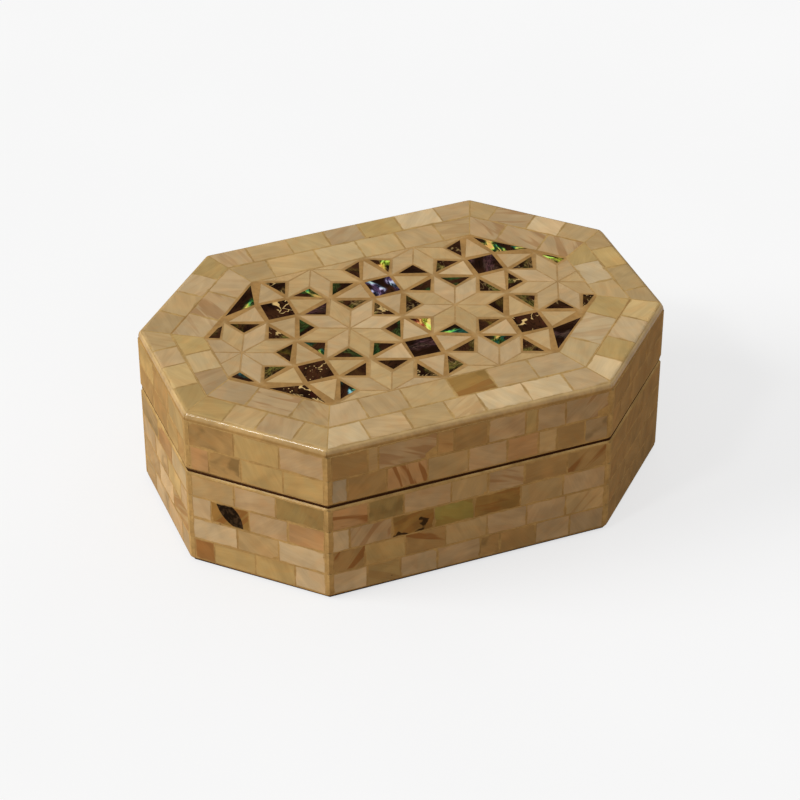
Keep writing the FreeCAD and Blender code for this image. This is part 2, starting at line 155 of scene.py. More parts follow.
PALE_LOOKS = {
    "white": pale("white", 0.3),
    "bright white": pale("white", 0.65),
    "dim white": pale("mauve", 0.75, 0.1),
    "cream": pale("cream", 0.55),
    "honey": pale("honey", 0.45),
    "dark honey and side shade": pale("tan", 0.5),
    "yellow": pale("honey", 0.7),
    "pink": pale("pink", 0.4),
    "grey": pale("grey", 0.8),
    "brown": pale("brown", 0.5),
    "smoky": pale("tan", 0.7, smoke=0.7),
    "smoky green": pale("olive", 0.45, 0.2, 0.5),
    "mauve folds": pale("mauve", 0.5, 0.55),
    "pink bands": pale("pink", 0.6, 1.0),
    "brown bands": pale("tan", 0.5, 1.0, 0.2),
    "amber": pale("amber", 0.45, 0.7, 0.4),
    "green": pale("green", 0.55, 0.4, 0.5),
    "pitted amber": {"tint": tint("amber"), "tone": 0.45, "streak": 0.5, "pit": 0.9},
    "pitted honey": {"tint": tint("honey"), "tone": 0.3, "pit": 1.0},
    "dark leaf": {"tint": tint("amber"), "streak": 0.9, "fragment": 1.0},
}
DARK_LOOKS = {
    "green flash": dark("green", 1.0),
    "gold flash": dark("gold", 1.0, 0.3),
    "teal flash": dark("teal", 0.9),
    "blue flash": dark("blue", 1.0),
    "green cast": dark("green", 0.6),
    "olive cast": dark("olive", 0.8, 0.2),
    "violet cast": dark("violet", 0.6),
    "gold reflection curls": dark("maroon", 0.2, 1.0),
    "olive reflection curls": dark("olive", 0.75, 0.8),
}

# Where those pieces are. Side tiles are given by millimetres along their side, from its left end as seen
# from outside, and by their course, counted from the lowest.
MARKED_SIDE_TILES = {
    "front_left": {
        "white": ((3, 4), (4, 3), (12, 2), (33, 2), (36, 1)),
        "dim white": ((33, 6), (18, 4), (21, 3)),
        "cream": ((9, 4), (21, 2)),
        "honey": ((20, 6), (22, 5), (33, 5), (13, 1), (25, 1)),
        "pink": ((3, 5), (33, 3)),
        "smoky": ((5, 6), (11, 5)),
        "smoky green": ((33, 4),),
        "brown": ((4, 1),),
        "dark leaf": ((10, 3),),
    },
    "front": {
        "bright white": ((4, 3), (4, 1)),
        "dim white": ((29, 4), (75, 3), (33, 1), (45, 5), (50, 6), (64, 6), (62, 2), (51, 2), (65, 1)),
        "cream": ((40, 4), (61, 3), (38, 2), (33, 5)),
        "honey": ((16, 2), (57, 6)),
        "dark honey and side shade": ((9, 5), (5, 6), (38, 6), (54, 1), (62, 4), (69, 5)),
        "pink": ((55, 5),),
        "grey": ((2, 5),),
        "smoky": ((46, 1),),
        "smoky green": ((16, 4),),
        "mauve folds": ((22, 6), (51, 4), (74, 6), (12, 3)),
        "pink bands": ((21, 5), (5, 4)),
        "brown bands": ((4, 2), (76, 4), (28, 2)),
        "amber": ((49, 3),),
        "pitted amber": ((24, 3),),
        "pitted honey": ((19, 1),),
        "green": ((36, 3),),
    },
    # The whole front-right side takes this darker look as painted shade
    "front_right": {"dark honey and side shade": [(along, course) for along in range(4, 42, 6) for course in range(1, 7)]},
    "left": {"dark honey and side shade": ((7, 5), (19, 5), (20, 6))},
}
# Pieces of the lid top are given by their place on it, in millimetres
MARKED_TOP_TILES = {
    "honey": ((58, -14), (52, -34)),
    "yellow": ((-58, 8),),
    "mauve folds": ((-50, -22), (44, 34), (50, 25), (55, 20), (-47, 24)),
    "amber": ((5, -36),),
}
MARKED_DARK_PIECES = {
    "green flash": ((-38.5, 24), (-19, 21.5), (41, 22.5), (21, -21), (12.5, -10), (-26, -3.5)),
    "gold flash": ((7, 27.5), (51, 11), (6, -3)),
    "teal flash": ((-51, -11), (-26, -27)),
    "blue flash": ((2, 16.5),),
    "green cast": ((-11, 20), (-25, 6.5), (-9, -10), (-19.5, -9.5), (12.5, 13.5), (22.5, 12.5), (-2.5, -3)),
    "olive cast": ((-11, 11), (20.5, 20), (41.5, 11.5), (28.5, 6), (28, -27), (5, -26)),
    "violet cast": ((-20.5, 11), (33, 16), (38.5, -23), (1, -14)),
    "gold reflection curls": ((-30.5, 16.5), (-30, -15.5), (31.5, -15), (-39, -23)),
    "olive reflection curls": ((-27, 28), (-2, 6.5), (-35.5, 4.5), (-42, -11.5), (36, 5), (35, -4), (-2.5, -25)),
}
SIDE_TILE_REACH = 7 * MM    # how far a mark may lie from the middle of its piece
DARK_PIECE_REACH = 3 * MM


# Settings a user would change

def colour_setting(name, description, *channels):
    return bpy.props.FloatVectorProperty(
        name=name, description=description, size=4, subtype="COLOR", default=linear(*channels))


def length_setting(name, description, millimetres):
    return bpy.props.FloatProperty(
        name=name, description=description, default=millimetres * MM, unit="LENGTH")


def number_setting(name, description, default, **limits):
    return bpy.props.FloatProperty(name=name, description=description, default=default, **limits)


def vector_setting(name, description, subtype, *default):
    return bpy.props.FloatVectorProperty(
        name=name, description=description, subtype=subtype, default=default)


class ShellSettings(bpy.types.PropertyGroup):
    """Sizes and chances of the shell pieces."""
    edge_ease: length_setting("Edge ease", "Width of the softened edge of each piece", 0.03)
    slope: number_setting("Slope", "How far out of level a piece is laid", 0.006, subtype="FACTOR")
    seed: bpy.props.IntProperty(name="Seed", description="Fixes the chance in tints and slopes", default=11)


class FillerSettings(bpy.types.PropertyGroup):
    """The filler that the shell is bedded in."""
    colour: colour_setting("Colour", "Filler colour", 170, 138, 86)
    field_colour: colour_setting("Field colour", "Filler colour between the stars", 153, 117, 69)
    petal_colour: colour_setting("Petal colour", "Filler colour where it thins between petals", 164, 131, 85)
    joint_depth: length_setting("Joint depth", "Filler in a joint below the face of the tiles", 0.04)
    corner_round: length_setting("Corner round", "Radius of the upright corners", 2.8)


class LiningSettings(bpy.types.PropertyGroup):
    """Velvet inside and felt underneath."""
    velvet: colour_setting("Velvet", "Velvet colour", 112, 18, 26)
    felt: colour_setting("Felt", "Felt colour", 52, 40, 32)
    fill: number_setting("Fill", "How full the pads are", 0.35, subtype="FACTOR", min=0, max=1)


class HingeSettings(bpy.types.PropertyGroup):
    """Brass hinges and their screws."""
    brass: colour_setting("Brass", "Brass colour", 206, 168, 92)
    slot_width: length_setting("Slot width", "Width of a screw's slot", 0.28)
    slot_depth: length_setting("Slot depth", "Depth of a screw's slot", 0.22)
    segments: bpy.props.IntProperty(name="Segments", description="Sides of a screw head", default=28, min=8)


class StageSettings(bpy.types.PropertyGroup):
    """Camera, light and floor."""
    camera_place: vector_setting(
        "Camera", "Where the camera stands", "TRANSLATION", -0.235191, -0.591842, 0.489049)
    camera_aim: vector_setting(
        "Aim", "What the camera looks at", "TRANSLATION", -0.011414, -0.026806, 0.043055)
    lens: number_setting("Lens", "Focal length in millimetres", 125.77, unit="CAMERA")
    key_from: vector_setting("Key from", "Where the main light comes from", "DIRECTION", -0.85, 0.22, 0.46)
    key_strength: number_setting("Key strength", "Main light", 2.25)
    side_from: vector_setting(
        "Side from", "Where the small light comes from", "DIRECTION", -0.682, -0.223, 0.696)
    side_strength: number_setting("Side strength", "Small light", 0.5)
    sky: number_setting("Sky", "Soft light from all round", 0.53)
    backdrop: number_setting("Backdrop", "White of the backdrop", 0.95)


# Node trees

COLOUR = "NodeSocketColor"
VALUE = "NodeSocketFloat"
WHOLE = "NodeSocketInt"
VECTOR = "NodeSocketVector"
GEOMETRY = "NodeSocketGeometry"
MATERIAL = "NodeSocketMaterial"
OBJECT = "NodeSocketObject"


class Graph:
    """Adds nodes to one tree. An input that is given a socket is joined to it, other values are set."""

    def __init__(self, tree):
        self.tree = tree

    def add(self, kind, inputs=None, **settings):
        node = self.tree.nodes.new(kind)
        for name, value in settings.items():
            setattr(node, name, value)
        self.fill(node, inputs or {})
        return node

    def fill(self, node, inputs):
        for name, value in inputs.items():
            if isinstance(value, bpy.types.NodeSocket):
                self.tree.links.new(value, node.inputs[name])
            else:
                node.inputs[name].default_value = value

    def math(self, operation, *values):
        return self.add("ShaderNodeMath", dict(enumerate(values)), operation=operation).outputs[0]

    def plus(self, first, second):
        return self.math("ADD", first, second)

    def minus(self, first, second):
        return self.math("SUBTRACT", first, second)

    def times(self, first, second):
        return self.math("MULTIPLY", first, second)

    def apart(self, first, second):
        return self.math("ABSOLUTE", self.minus(first, second))

    def between(self, value, low, high, start=0.0, end=1.0):
        """Runs smoothly from start to end while a value goes from low to high."""
        inputs = {"Value": value, "From Min": low, "From Max": high, "To Min": start, "To Max": end}
        return self.add("ShaderNodeMapRange", inputs, interpolation_type="SMOOTHSTEP").outputs["Result"]

    def vector(self, operation, *values):
        return self.add("ShaderNodeVectorMath", dict(enumerate(values)), operation=operation).outputs[0]

    def parts(self, vector):
        return self.add("ShaderNodeSeparateXYZ", {0: vector}).outputs

    def combined(self, x, y, z):
        return self.add("ShaderNodeCombineXYZ", {0: x, 1: y, 2: z}).outputs[0]

    def turned(self, vector, angle):
        inputs = {"Vector": vector, "Angle": angle}
        return self.add("ShaderNodeVectorRotate", inputs, rotation_type="Z_AXIS").outputs[0]

    def noise(self, vector, scale, detail=2.0, distortion=0.0):
        """Noise at one scale, or at a scale for each axis."""
        if isinstance(scale, tuple):
            vector = self.vector("MULTIPLY", vector, scale)
            scale = 1.0
        inputs = {"Vector": vector, "Scale": scale, "Detail": detail, "Distortion": distortion}
        return self.add("ShaderNodeTexNoise", inputs).outputs["Fac"]

    def mix(self, factor, first, second, blend="MIX"):
        inputs = {0: factor, 6: first, 7: second}
        return self.add("ShaderNodeMix", inputs, data_type="RGBA", blend_type=blend).outputs[2]

    def grey(self, value):
        return self.add("ShaderNodeCombineColor", {0: value, 1: value, 2: value}).outputs[0]

    def shaded(self, colour, light):
        """A colour made lighter or darker by a value."""
        return self.mix(1.0, colour, self.grey(light), "MULTIPLY")

    def turn_hue(self, colour, turn):
        """A colour with its hue turned round the wheel: not at all for a turn of 0.5."""
        return self.add("ShaderNodeHueSaturation", {"Hue": turn, "Color": colour}).outputs["Color"]

    def ramp(self, value, stops):
        node = self.add("ShaderNodeValToRGB", {"Fac": value})
        elements = node.color_ramp.elements
        while len(elements) < len(stops):
            elements.new(0.5)
        for element, (place, colour) in zip(elements, stops):
            element.position = place
            element.color = colour
        return node.outputs["Color"]

    def attribute(self, name, output="Fac"):
        return self.add("ShaderNodeAttribute", attribute_name=name).outputs[output]

    def bump(self, shader, height, strength, distance):
        node = self.add("ShaderNodeBump", {"Height": height, "Strength": strength, "Distance": distance})
        self.fill(shader, {"Normal": node.outputs["Normal"]})

    def group(self, name, build, inputs):
        return self.add("ShaderNodeGroup", inputs, node_tree=kept_tree(name, build)).outputs


def kept_tree(name, build):
    """A node group, built the first time it is asked for."""
    return bpy.data.node_groups.get(name) or build(name)


def new_tree(name, inputs, outputs, kind="ShaderNodeTree"):
    """An empty node group with named sockets: its graph, its input sockets and its output node."""
    tree = bpy.data.node_groups.new(name, kind)
    for in_out, sockets in (("INPUT", inputs), ("OUTPUT", outputs)):
        for label, socket in sockets.items():
            tree.interface.new_socket(label, in_out=in_out, socket_type=socket)
    graph = Graph(tree)
    return graph, graph.add("NodeGroupInput").outputs, graph.add("NodeGroupOutput")


# Shader groups

def lacquer_group(name):
    """Slow ripples and dust nibs of hand-rubbed lacquer, in millimetres."""
    graph, given, result = new_tree(name, {"Place": VECTOR}, {"Height": VALUE})
    place = given["Place"]
    ripples = graph.noise(place, 0.25, 1.0)
    orange_peel = graph.noise(place, 1.6, 2.0)
    nibs = graph.between(graph.noise(place, 2.4, 0.0), 0.76, 0.84)
    height = graph.plus(ripples, graph.times(orange_peel, 0.12))
    graph.fill(result, {"Height": graph.plus(height, graph.times(nibs, 0.10))})
    return graph.tree


def pale_shell_group(name):
    """Silky growth lines, clouds, brown streaks, smoky patches and pits of pale shell."""
    inputs = {"Base": COLOUR, "Grain": VECTOR, "Cloud": VALUE, "Streak": VALUE, "Smoke": VALUE, "Pit": VALUE}
    graph, given, result = new_tree(name, inputs, {"Colour": COLOUR, "Roughness": VALUE})
    grain = given["Grain"]
    lines = graph.noise(grain, (0.20, 1.7, 1.0), 2.0, 0.4)
    folds = graph.noise(grain, (0.06, 0.22, 1.0), 1.0, 1.2)
    clouds = graph.between(graph.noise(grain, 0.12, 1.5, 0.6), 0.3, 0.7, -1.3, 0.8)
    light = graph.times(graph.between(lines, 0.3, 0.7, 0.97, 1.03),
                        graph.between(folds, 0.35, 0.65, 0.95, 1.05))
    light = graph.times(light, graph.math("MULTIPLY_ADD", clouds, given["Cloud"], 1.0))
    pearl = graph.ramp(graph.noise(grain, 0.17, 1.0, 1.0),
                       ((0.35, (1.03, 0.98, 0.95, 1)), (0.5, (1, 1, 1, 1)), (0.65, (0.98, 1.0, 1.04, 1))))
    colour = graph.mix(1.0, graph.shaded(given["Base"], light), pearl, "MULTIPLY")

    streaks = graph.noise(grain, (0.05, 0.34, 1.0), 2.0, 0.6)
    streak = graph.times(graph.between(streaks, 0.50, 0.60), given["Streak"])
    colour = graph.mix(graph.times(streak, 0.8), colour, linear(138, 90, 44))
    smoke = graph.between(graph.noise(grain, 0.13, 2.0, 0.6), 0.46, 0.66)
    colour = graph.mix(graph.times(smoke, graph.times(given["Smoke"], 0.75)), colour, linear(92, 76, 44))
    pits = graph.between(graph.noise(grain, 0.30, 1.5, 0.3), 0.61, 0.66)
    colour = graph.mix(graph.times(pits, given["Pit"]), colour, linear(40, 26, 12))
    graph.fill(result, {"Colour": colour, "Roughness": graph.between(lines, 0.3, 0.7, 0.32, 0.44)})
    return graph.tree


def dark_shell_group(name):
    """Near black shell with a cast of colour, flashes whose hue drifts along its folds, and gold curls."""
    inputs = {"Grain": VECTOR, "Cast": COLOUR, "Glint": COLOUR, "Glow": VALUE, "Reflection Curl": VALUE}
    graph, given, result = new_tree(name, inputs, {"Colour": COLOUR, "Roughness": VALUE})
    grain = given["Grain"]
    glow = given["Glow"]
    ground = graph.mix(graph.between(graph.noise(grain, 0.09, 1.5), 0.35, 0.65),
                       linear(30, 13, 4), linear(60, 34, 17))
    wander = graph.times(graph.noise(grain, 0.16, 1.0), 6.0)
    bands = graph.math("SINE", graph.plus(graph.times(graph.parts(grain)[1], 0.8), wander))
    drift = graph.between(graph.noise(grain, (0.16, 0.30, 1.0), 1.0, 0.5), 0.36, 0.64, -0.12, 0.12)
    hue = graph.plus(graph.times(drift, graph.between(glow, 0.8, 0.95, 0.3, 1.0)), 0.5)
    cast = graph.turn_hue(given["Cast"], hue)
    threads = graph.noise(grain, (0.35, 1.6, 1.0), 3.0, 1.5)
    silk = graph.shaded(cast, graph.between(threads, 0.36, 0.62, 0.2, 1.5))
    colour = graph.mix(graph.times(graph.between(bands, -0.5, 1.0), glow), ground, silk)

    folds = graph.noise(grain, (0.13, 0.48, 1.0), 2.0, 1.0)
    strong = graph.times(graph.between(glow, 0.8, 0.95), graph.between(bands, 0.1, 0.8))
    bright = graph.mix(1.0, cast, (2.2, 2.2, 2.2, 1.0), "MULTIPLY")
    colour = graph.mix(graph.times(graph.between(folds, 0.46, 0.56), strong), colour, bright)
    flashes = graph.times(graph.between(folds, 0.51, 0.62), strong)
    colour = graph.mix(flashes, colour, graph.turn_hue(given["Glint"], hue))
    colour = graph.shaded(colour, graph.between(graph.apart(folds, 0.47), 0.0, 0.04, 0.35, 1.0))

    # Gold curls painted as reflections of uneven lacquer, and gold flecks painted as glints
    swirl = graph.apart(graph.noise(grain, 0.22, 1.0, 0.9), 0.5)
    curls = graph.times(graph.between(swirl, 0.014, 0.034, 1.0, 0.0),
                        graph.between(graph.noise(grain, 0.22, 0.0), 0.48, 0.56))
    spots = graph.add("ShaderNodeTexVoronoi", {"Vector": grain, "Scale": 0.8}).outputs["Distance"]
    glint_flecks = graph.times(graph.between(spots, 0.14, 0.24, 1.0, 0.0),
                         graph.between(graph.noise(grain, 0.25, 0.0), 0.50, 0.58))
    gold = graph.times(graph.math("MAXIMUM", curls, glint_flecks), given["Reflection Curl"])
    colour = graph.mix(gold, colour, linear(214, 180, 118))
    graph.fill(result, {"Colour": colour, "Roughness": graph.between(folds, 0.3, 0.7, 0.22, 0.36)})
    return graph.tree


def filler_group(name):
    """Cloudy resin filler with grit and pits, rubbed pale on the bead and at the seam, with dirt in the seam,
    under the bead and along the bottom. In millimetres."""
    outputs = {"Colour": COLOUR, "Roughness": VALUE, "Bead": VALUE}
    graph, given, result = new_tree(name, {"Base": COLOUR, "Place": VECTOR}, outputs)
    place = given["Place"]
    height = graph.parts(place)[2]
    from_seam = graph.apart(height, SEAM_HEIGHT)
    clouds = graph.between(graph.noise(place, 0.14, 3.0), 0.3, 0.7)
    grit = graph.between(graph.noise(place, 0.9, 2.0), 0.3, 0.7, 0.92, 1.08)
    colour = graph.shaded(given["Base"], graph.times(graph.between(clouds, 0.0, 1.0, 0.94, 1.16), grit))
    pits = graph.between(graph.noise(place, 0.6, 1.0), 0.74, 0.82)
    # Painted highlight, with some wear, along the crest of the bead
    crest_highlight_and_wear = graph.times(graph.between(graph.apart(height, CREST_HEIGHT), 0.0, 0.45, 0.7, 0.0),
                       graph.between(clouds, 0.0, 1.0, 0.4, 1.0))
    # Painted highlights on the edges of the seam
    seam_edge_highlight = graph.times(graph.between(from_seam, 0.5, 1.0, 0.6, 0.0), graph.between(clouds, 0.2, 0.8))
    # Painted shade in the seam
    seam_shade = graph.between(from_seam, 0.33, 0.42, 1.0, 0.0)
    # Darker along the bottom
    bottom_darkening = graph.between(height, 0.8, 1.9, 0.6, 0.0)
    # Painted shade under the bead
    ledge_shade = graph.between(graph.apart(height, LEDGE_HEIGHT), 0.1, 0.6, 0.3, 0.0)
    for mask, stain in ((graph.times(pits, 0.5), linear(96, 64, 34)), (crest_highlight_and_wear, linear(202, 172, 116)),
                        (seam_edge_highlight, linear(200, 170, 114)), (seam_shade, linear(66, 38, 18)),
                        (bottom_darkening, linear(112, 76, 36)), (ledge_shade, linear(124, 86, 42))):
        colour = graph.mix(mask, colour, stain)
    bead = graph.math("MINIMUM", graph.between(height, BEAD_HEIGHT, BEAD_HEIGHT + 0.5),
                      graph.between(height, CREST_HEIGHT + 0.2, CREST_HEIGHT + 0.4, 1.0, 0.0))
    graph.fill(result, {"Colour": colour, "Roughness": graph.between(clouds, 0.0, 1.0, 0.26, 0.40),
                        "Bead": graph.between(bead, 0.0, 1.0, 0.04, 0.7)})
    return graph.tree


def pile_group(name):
    """The lie of a short pile, brushed this way and that, in millimetres."""
    inputs = {"Base": COLOUR, "Place": VECTOR}
    graph, given, result = new_tree(name, inputs, {"Colour": COLOUR, "Height": VALUE})
    brushed = graph.between(graph.noise(given["Place"], 0.07, 2.0, 1.0), 0.35, 0.65, 0.72, 1.25)
    fibres = graph.noise(given["Place"], 5.0, 2.0)
    light = graph.times(brushed, graph.between(fibres, 0.3, 0.7, 0.7, 1.2))
    graph.fill(result, {"Colour": graph.shaded(given["Base"], light), "Height": fibres})
    return graph.tree


# Materials

SHELL_COAT = 0.03   # weight of the clear coat on shell


def new_material(name):
    """A material with its graph, its shader and its place over the surface in millimetres."""
    material = bpy.data.materials.new(name)
    material.use_nodes = True
    graph = Graph(material.node_tree)
    shader = material.node_tree.nodes["Principled BSDF"]
    place = graph.add("ShaderNodeTexCoord").outputs["Object"]
    return material, graph, shader, graph.vector("MULTIPLY", place, (1 / MM, 1 / MM, 1 / MM))


def lay_lacquer(graph, shader, place, weight):
    """A clear coat with its ripples, over whatever the shader already shows."""
    height = graph.group("Lacquer", lacquer_group, {"Place": place})["Height"]
    graph.bump(shader, height, 0.25, 0.1 * MM)
    graph.fill(shader, {"Coat Weight": weight, "Coat Roughness": 0.12, "Specular IOR Level": 0.0})


def edge_distance(graph, lay, reach):
    """How far inside the edge of a squared tile a place is, in millimetres."""
    room = graph.parts(graph.vector("SUBTRACT", reach, graph.vector("ABSOLUTE", lay)))
    return graph.math("MINIMUM", room[0], room[1])


def smear_mask(graph, edge, place):
    """Where filler was rubbed over the edge of a tile, more in one spot than in the next."""
    wander = graph.minus(graph.noise(place, 0.3, 2.0), 0.48)
    return graph.between(graph.minus(edge, graph.times(wander, 1.6)), 0.0, 0.35, 0.8, 0.0)


def leaf_mask(graph, lay):
    """The outline of a leaf-shaped chip of dark shell, fuller on one side, leaning across its tile."""
    x, y, _ = graph.parts(graph.turned(lay, math.radians(50)))
    along = graph.math("DIVIDE", graph.plus(x, 0.5), 6.4)
    taper = graph.minus(1.0, graph.times(along, along))
    above = graph.minus(graph.times(taper, 3.0), y)
    below = graph.plus(graph.times(taper, 2.1), y)
    return graph.between(graph.math("MINIMUM", above, below), -0.05, 0.15)


def pale_shell_material(name, filler, cloud):
    """Pale shell with filler rubbed over its edges and, on a tile that holds one, a chip of dark shell."""
    material, graph, shader, place = new_material(name)
    stops = [(tint(label), colour) for label, colour in PALE_TINTS.items()]
    base = graph.ramp(graph.attribute("tint"), stops)
    tone = graph.math("MULTIPLY_ADD", graph.attribute("tone"), 0.32, 0.82)
    figure = graph.group("Pale shell", pale_shell_group, {
        "Base": graph.shaded(base, tone), "Grain": graph.attribute("grain", "Vector"), "Cloud": cloud,
        "Streak": graph.attribute("streak"), "Smoke": graph.attribute("smoke"),
        "Pit": graph.attribute("pit")})
    lay = graph.attribute("lay", "Vector")
    leaf = graph.times(leaf_mask(graph, lay), graph.attribute("fragment"))
    mottle = graph.between(graph.noise(lay, 0.8, 3.0, 1.0), 0.48, 0.66)
    colour = graph.mix(leaf, figure["Colour"], graph.mix(mottle, linear(30, 20, 10), linear(62, 46, 30)))

    bedding = graph.group("Filler", filler_group, {"Base": filler, "Place": place})["Colour"]
    edge = edge_distance(graph, lay, graph.attribute("reach", "Vector"))
    colour = graph.mix(smear_mask(graph, edge, place), colour, bedding)
    wander = graph.times(graph.minus(graph.noise(place, 0.3, 2.0), 0.45), 1.5)
    rim = graph.plus(graph.attribute("inside"), wander)
    colour = graph.mix(graph.between(rim, 0.0, 0.6, 0.32, 0.0), colour, bedding)
    hairline = graph.times(graph.between(edge, 0.0, 0.22, 0.55, 0.0),
                           graph.between(graph.noise(place, 0.25, 1.0), 0.42, 0.6))
    colour = graph.mix(hairline, colour, linear(112, 76, 38))
    graph.fill(shader, {"Base Color": colour, "Roughness": figure["Roughness"]})
    lay_lacquer(graph, shader, place, SHELL_COAT)
    return material


def dark_shell_material(name):
    material, graph, shader, place = new_material(name)
    casts = [(sheen(label), cast) for label, (cast, _) in DARK_SHEENS.items()]
    glints = [(sheen(label), glint) for label, (_, glint) in DARK_SHEENS.items()]
    figure = graph.group("Dark shell", dark_shell_group, {
        "Grain": graph.attribute("grain", "Vector"),
        "Cast": graph.ramp(graph.attribute("sheen"), casts),
        "Glint": graph.ramp(graph.attribute("sheen"), glints),
        "Glow": graph.attribute("glow"), "Reflection Curl": graph.attribute("curl")})
    graph.fill(shader, {"Base Color": figure["Colour"], "Roughness": figure["Roughness"]})
    lay_lacquer(graph, shader, place, SHELL_COAT)
    return material


def filler_material(name, colour, petal_colour):
    material, graph, shader, place = new_material(name)
    base = graph.mix(graph.attribute("by_petal"), colour, petal_colour)
    figure = graph.group("Filler", filler_group, {"Base": base, "Place": place})
    graph.fill(shader, {"Base Color": figure["Colour"], "Roughness": figure["Roughness"]})
    lay_lacquer(graph, shader, place, figure["Bead"])
    return material


def wood_material(name, turn):
    """Pale carcass wood whose grain runs along X turned by an angle."""
    material, graph, shader, place = new_material(name)
    turned = graph.turned(place, -turn)
    rings = graph.noise(turned, (0.012, 0.30, 0.30), 3.0, 1.5)
    pores = graph.noise(turned, (0.12, 3.0, 3.0), 2.0)
    colour = graph.ramp(rings, ((0.30, linear(150, 106, 64)), (0.48, linear(190, 146, 96)),
                                (0.56, linear(168, 122, 76)), (0.70, linear(202, 160, 110))))
    colour = graph.mix(graph.between(pores, 0.58, 0.70, 0.0, 0.5), colour, linear(112, 74, 42))
    graph.fill(shader, {"Base Color": colour, "Roughness": graph.between(pores, 0.3, 0.7, 0.48, 0.66)})
    graph.bump(shader, pores, 0.3, 0.05 * MM)
    return material


def cloth_material(name, colour, glow, depth):
    """Velvet or felt: a pile with a soft edge glow."""
    material, graph, shader, place = new_material(name)
    figure = graph.group("Pile", pile_group, {"Base": colour, "Place": place})
    graph.bump(shader, figure["Height"], 0.6, depth)
    graph.fill(shader, {"Base Color": figure["Colour"], "Roughness": 0.95, "Specular IOR Level": 0.1,
                        "Sheen Weight": glow, "Sheen Roughness": 0.4, "Sheen Tint": colour})
    return material


def brass_material(name, colour):
    material, graph, shader, place = new_material(name)
    tarnish = graph.between(graph.noise(place, 0.5, 4.0), 0.40, 0.68)
    scratches = graph.noise(place, (0.4, 6.0, 6.0), 2.0)
    roughness = graph.plus(graph.between(tarnish, 0.0, 1.0, 0.30, 0.46),
                           graph.between(scratches, 0.45, 0.7, 0.0, 0.04))
    graph.fill(shader, {"Base Color": graph.mix(graph.times(tarnish, 0.6), colour, linear(116, 82, 40)),
                        "Roughness": roughness, "Metallic": 1.0})
    return material


# Meshes

def merged_copy(node, join_flats=True):
    """A solid's mesh with its loose triangles merged, and flat faces joined where asked."""
    mesh = bmesh.new()
    mesh.from_mesh(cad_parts[node].data)
    bmesh.ops.remove_doubles(mesh, verts=mesh.verts, dist=TINY)
    for face in mesh.faces:
        face.smooth = False
    if join_flats:
        bmesh.ops.dissolve_limit(mesh, angle_limit=math.radians(1), verts=mesh.verts, edges=mesh.edges)
    return mesh


def ease_edges(mesh, width, segments):
    """Softens the edges where two faces meet at more than 40 degrees."""
    sharp = [edge for edge in mesh.edges if edge.is_manifold and edge.calc_face_angle(0) > math.radians(40)]
    bmesh.ops.bevel(mesh, geom=sharp, offset=width, segments=segments, profile=0.5, affect="EDGES")


def new_piece(name, mesh, material):
    """An object at the origin from a bmesh, which is used up."""
    data = bpy.data.meshes.new(name)
    mesh.to_mesh(data)
    mesh.free()
    if "custom_normal" in data.attributes:
        data.attributes.remove(data.attributes["custom_normal"])
    piece = bpy.data.objects.new(name, data)
    bpy.context.collection.objects.link(piece)
    if material:
        data.materials.append(material)
    return piece


def bake_modifiers(piece):
    """Turns a piece with modifiers into a plain mesh."""
    graph = bpy.context.evaluated_depsgraph_get()
    data = bpy.data.meshes.new_from_object(piece.evaluated_get(graph))
    piece.modifiers.clear()
    piece.data = data


def set_tree_inputs(piece, tree, values):
    """Adds a geometry nodes modifier and sets its inputs by the names in the tree."""
    modifier = piece.modifiers.new(tree.name, "NODES")
    modifier.node_group = tree
    for item in tree.interface.items_tree:
        if item.in_out == "INPUT" and item.name in values:
            modifier[item.identifier] = values[item.name]


def rounded_piece(name, mesh, material, degrees):
    """A piece whose gentle bends are shaded as rounds while its large flat faces stay flat."""
    for face in mesh.faces:
        face.smooth = True
    for edge in mesh.edges:
        edge.smooth = edge.calc_face_angle(math.pi) < math.radians(degrees)
    piece = new_piece(name, mesh, material)
    modifier = piece.modifiers.new("Flat faces stay flat", "WEIGHTED_NORMAL")
    modifier.keep_sharp = True
    bake_modifiers(piece)
    return piece


def dress_solid(node, material):
    """Gives a solid a material in place of its own."""
    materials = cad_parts[node].data.materials
    materials.clear()
    materials.append(material)


def hand_over(piece, body, slot, *nodes):
    """Lets a piece stand for solids, move with their body and take their finish."""
    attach(piece, body)
    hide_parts(*nodes)


def box_octagon(depth):
    """Corners of the box's outline moved in by a depth, from the left end of the front."""
    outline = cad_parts["base_filler"].data.vertices
    half_length = CAD_BOX[1][0] - depth
    half_width = CAD_BOX[1][1] - depth
    reach = max(abs(point.co.x) + abs(point.co.y) for point in outline) - depth * math.sqrt(2)
    x, y = reach - half_width, reach - half_length
    return [Vector(corner) for corner in (
        (-x, -half_width), (x, -half_width), (half_length, -y), (half_length, y),
        (x, half_width), (-x, half_width), (-half_length, y), (-half_length, -y))]


def side_ends(corners, side):
    """The left and the right end of one side, as seen from outside."""
    place = SIDE_NAMES.index(side)
    return corners[place], corners[(place + 1) % len(corners)]


def add_octagon_ring(mesh, profile, sides=SIDE_NAMES):
    """Adds a closed band to a mesh that follows a profile of (depth, height) along some sides of the box."""
    octagons = [box_octagon(depth) for depth, _ in profile]
    for side in (name for name in SIDE_NAMES if name in sides):
        ends = [side_ends(corners, side) for corners in octagons]
        start, end = ([mesh.verts.new((*pair[place], height)) for pair, (_, height) in zip(ends, profile)]
                      for place in (0, 1))
        for corners in zip(start, end, end[1:] + end[:1], start[1:] + start[:1]):
            mesh.faces.new(corners)
        mesh.faces.new(start)
        mesh.faces.new(end[::-1])


# Shell pieces

SEED_STEP = 100                 # between the seeds of two nodes
RIM_WIDTH = 0.5                 # border of a petal that takes on the filler's colour, in millimetres
UNBOUNDED = (99.0, 99.0, 99.0)  # reach of a piece that isn't squared, in millimetres
FIGURE_ROOM = 400.0             # stretch of figured shell that pieces are cut from, in millimetres


def middle_of(piece):
    return sum((vertex.co for vertex in piece), Vector()) / len(piece)


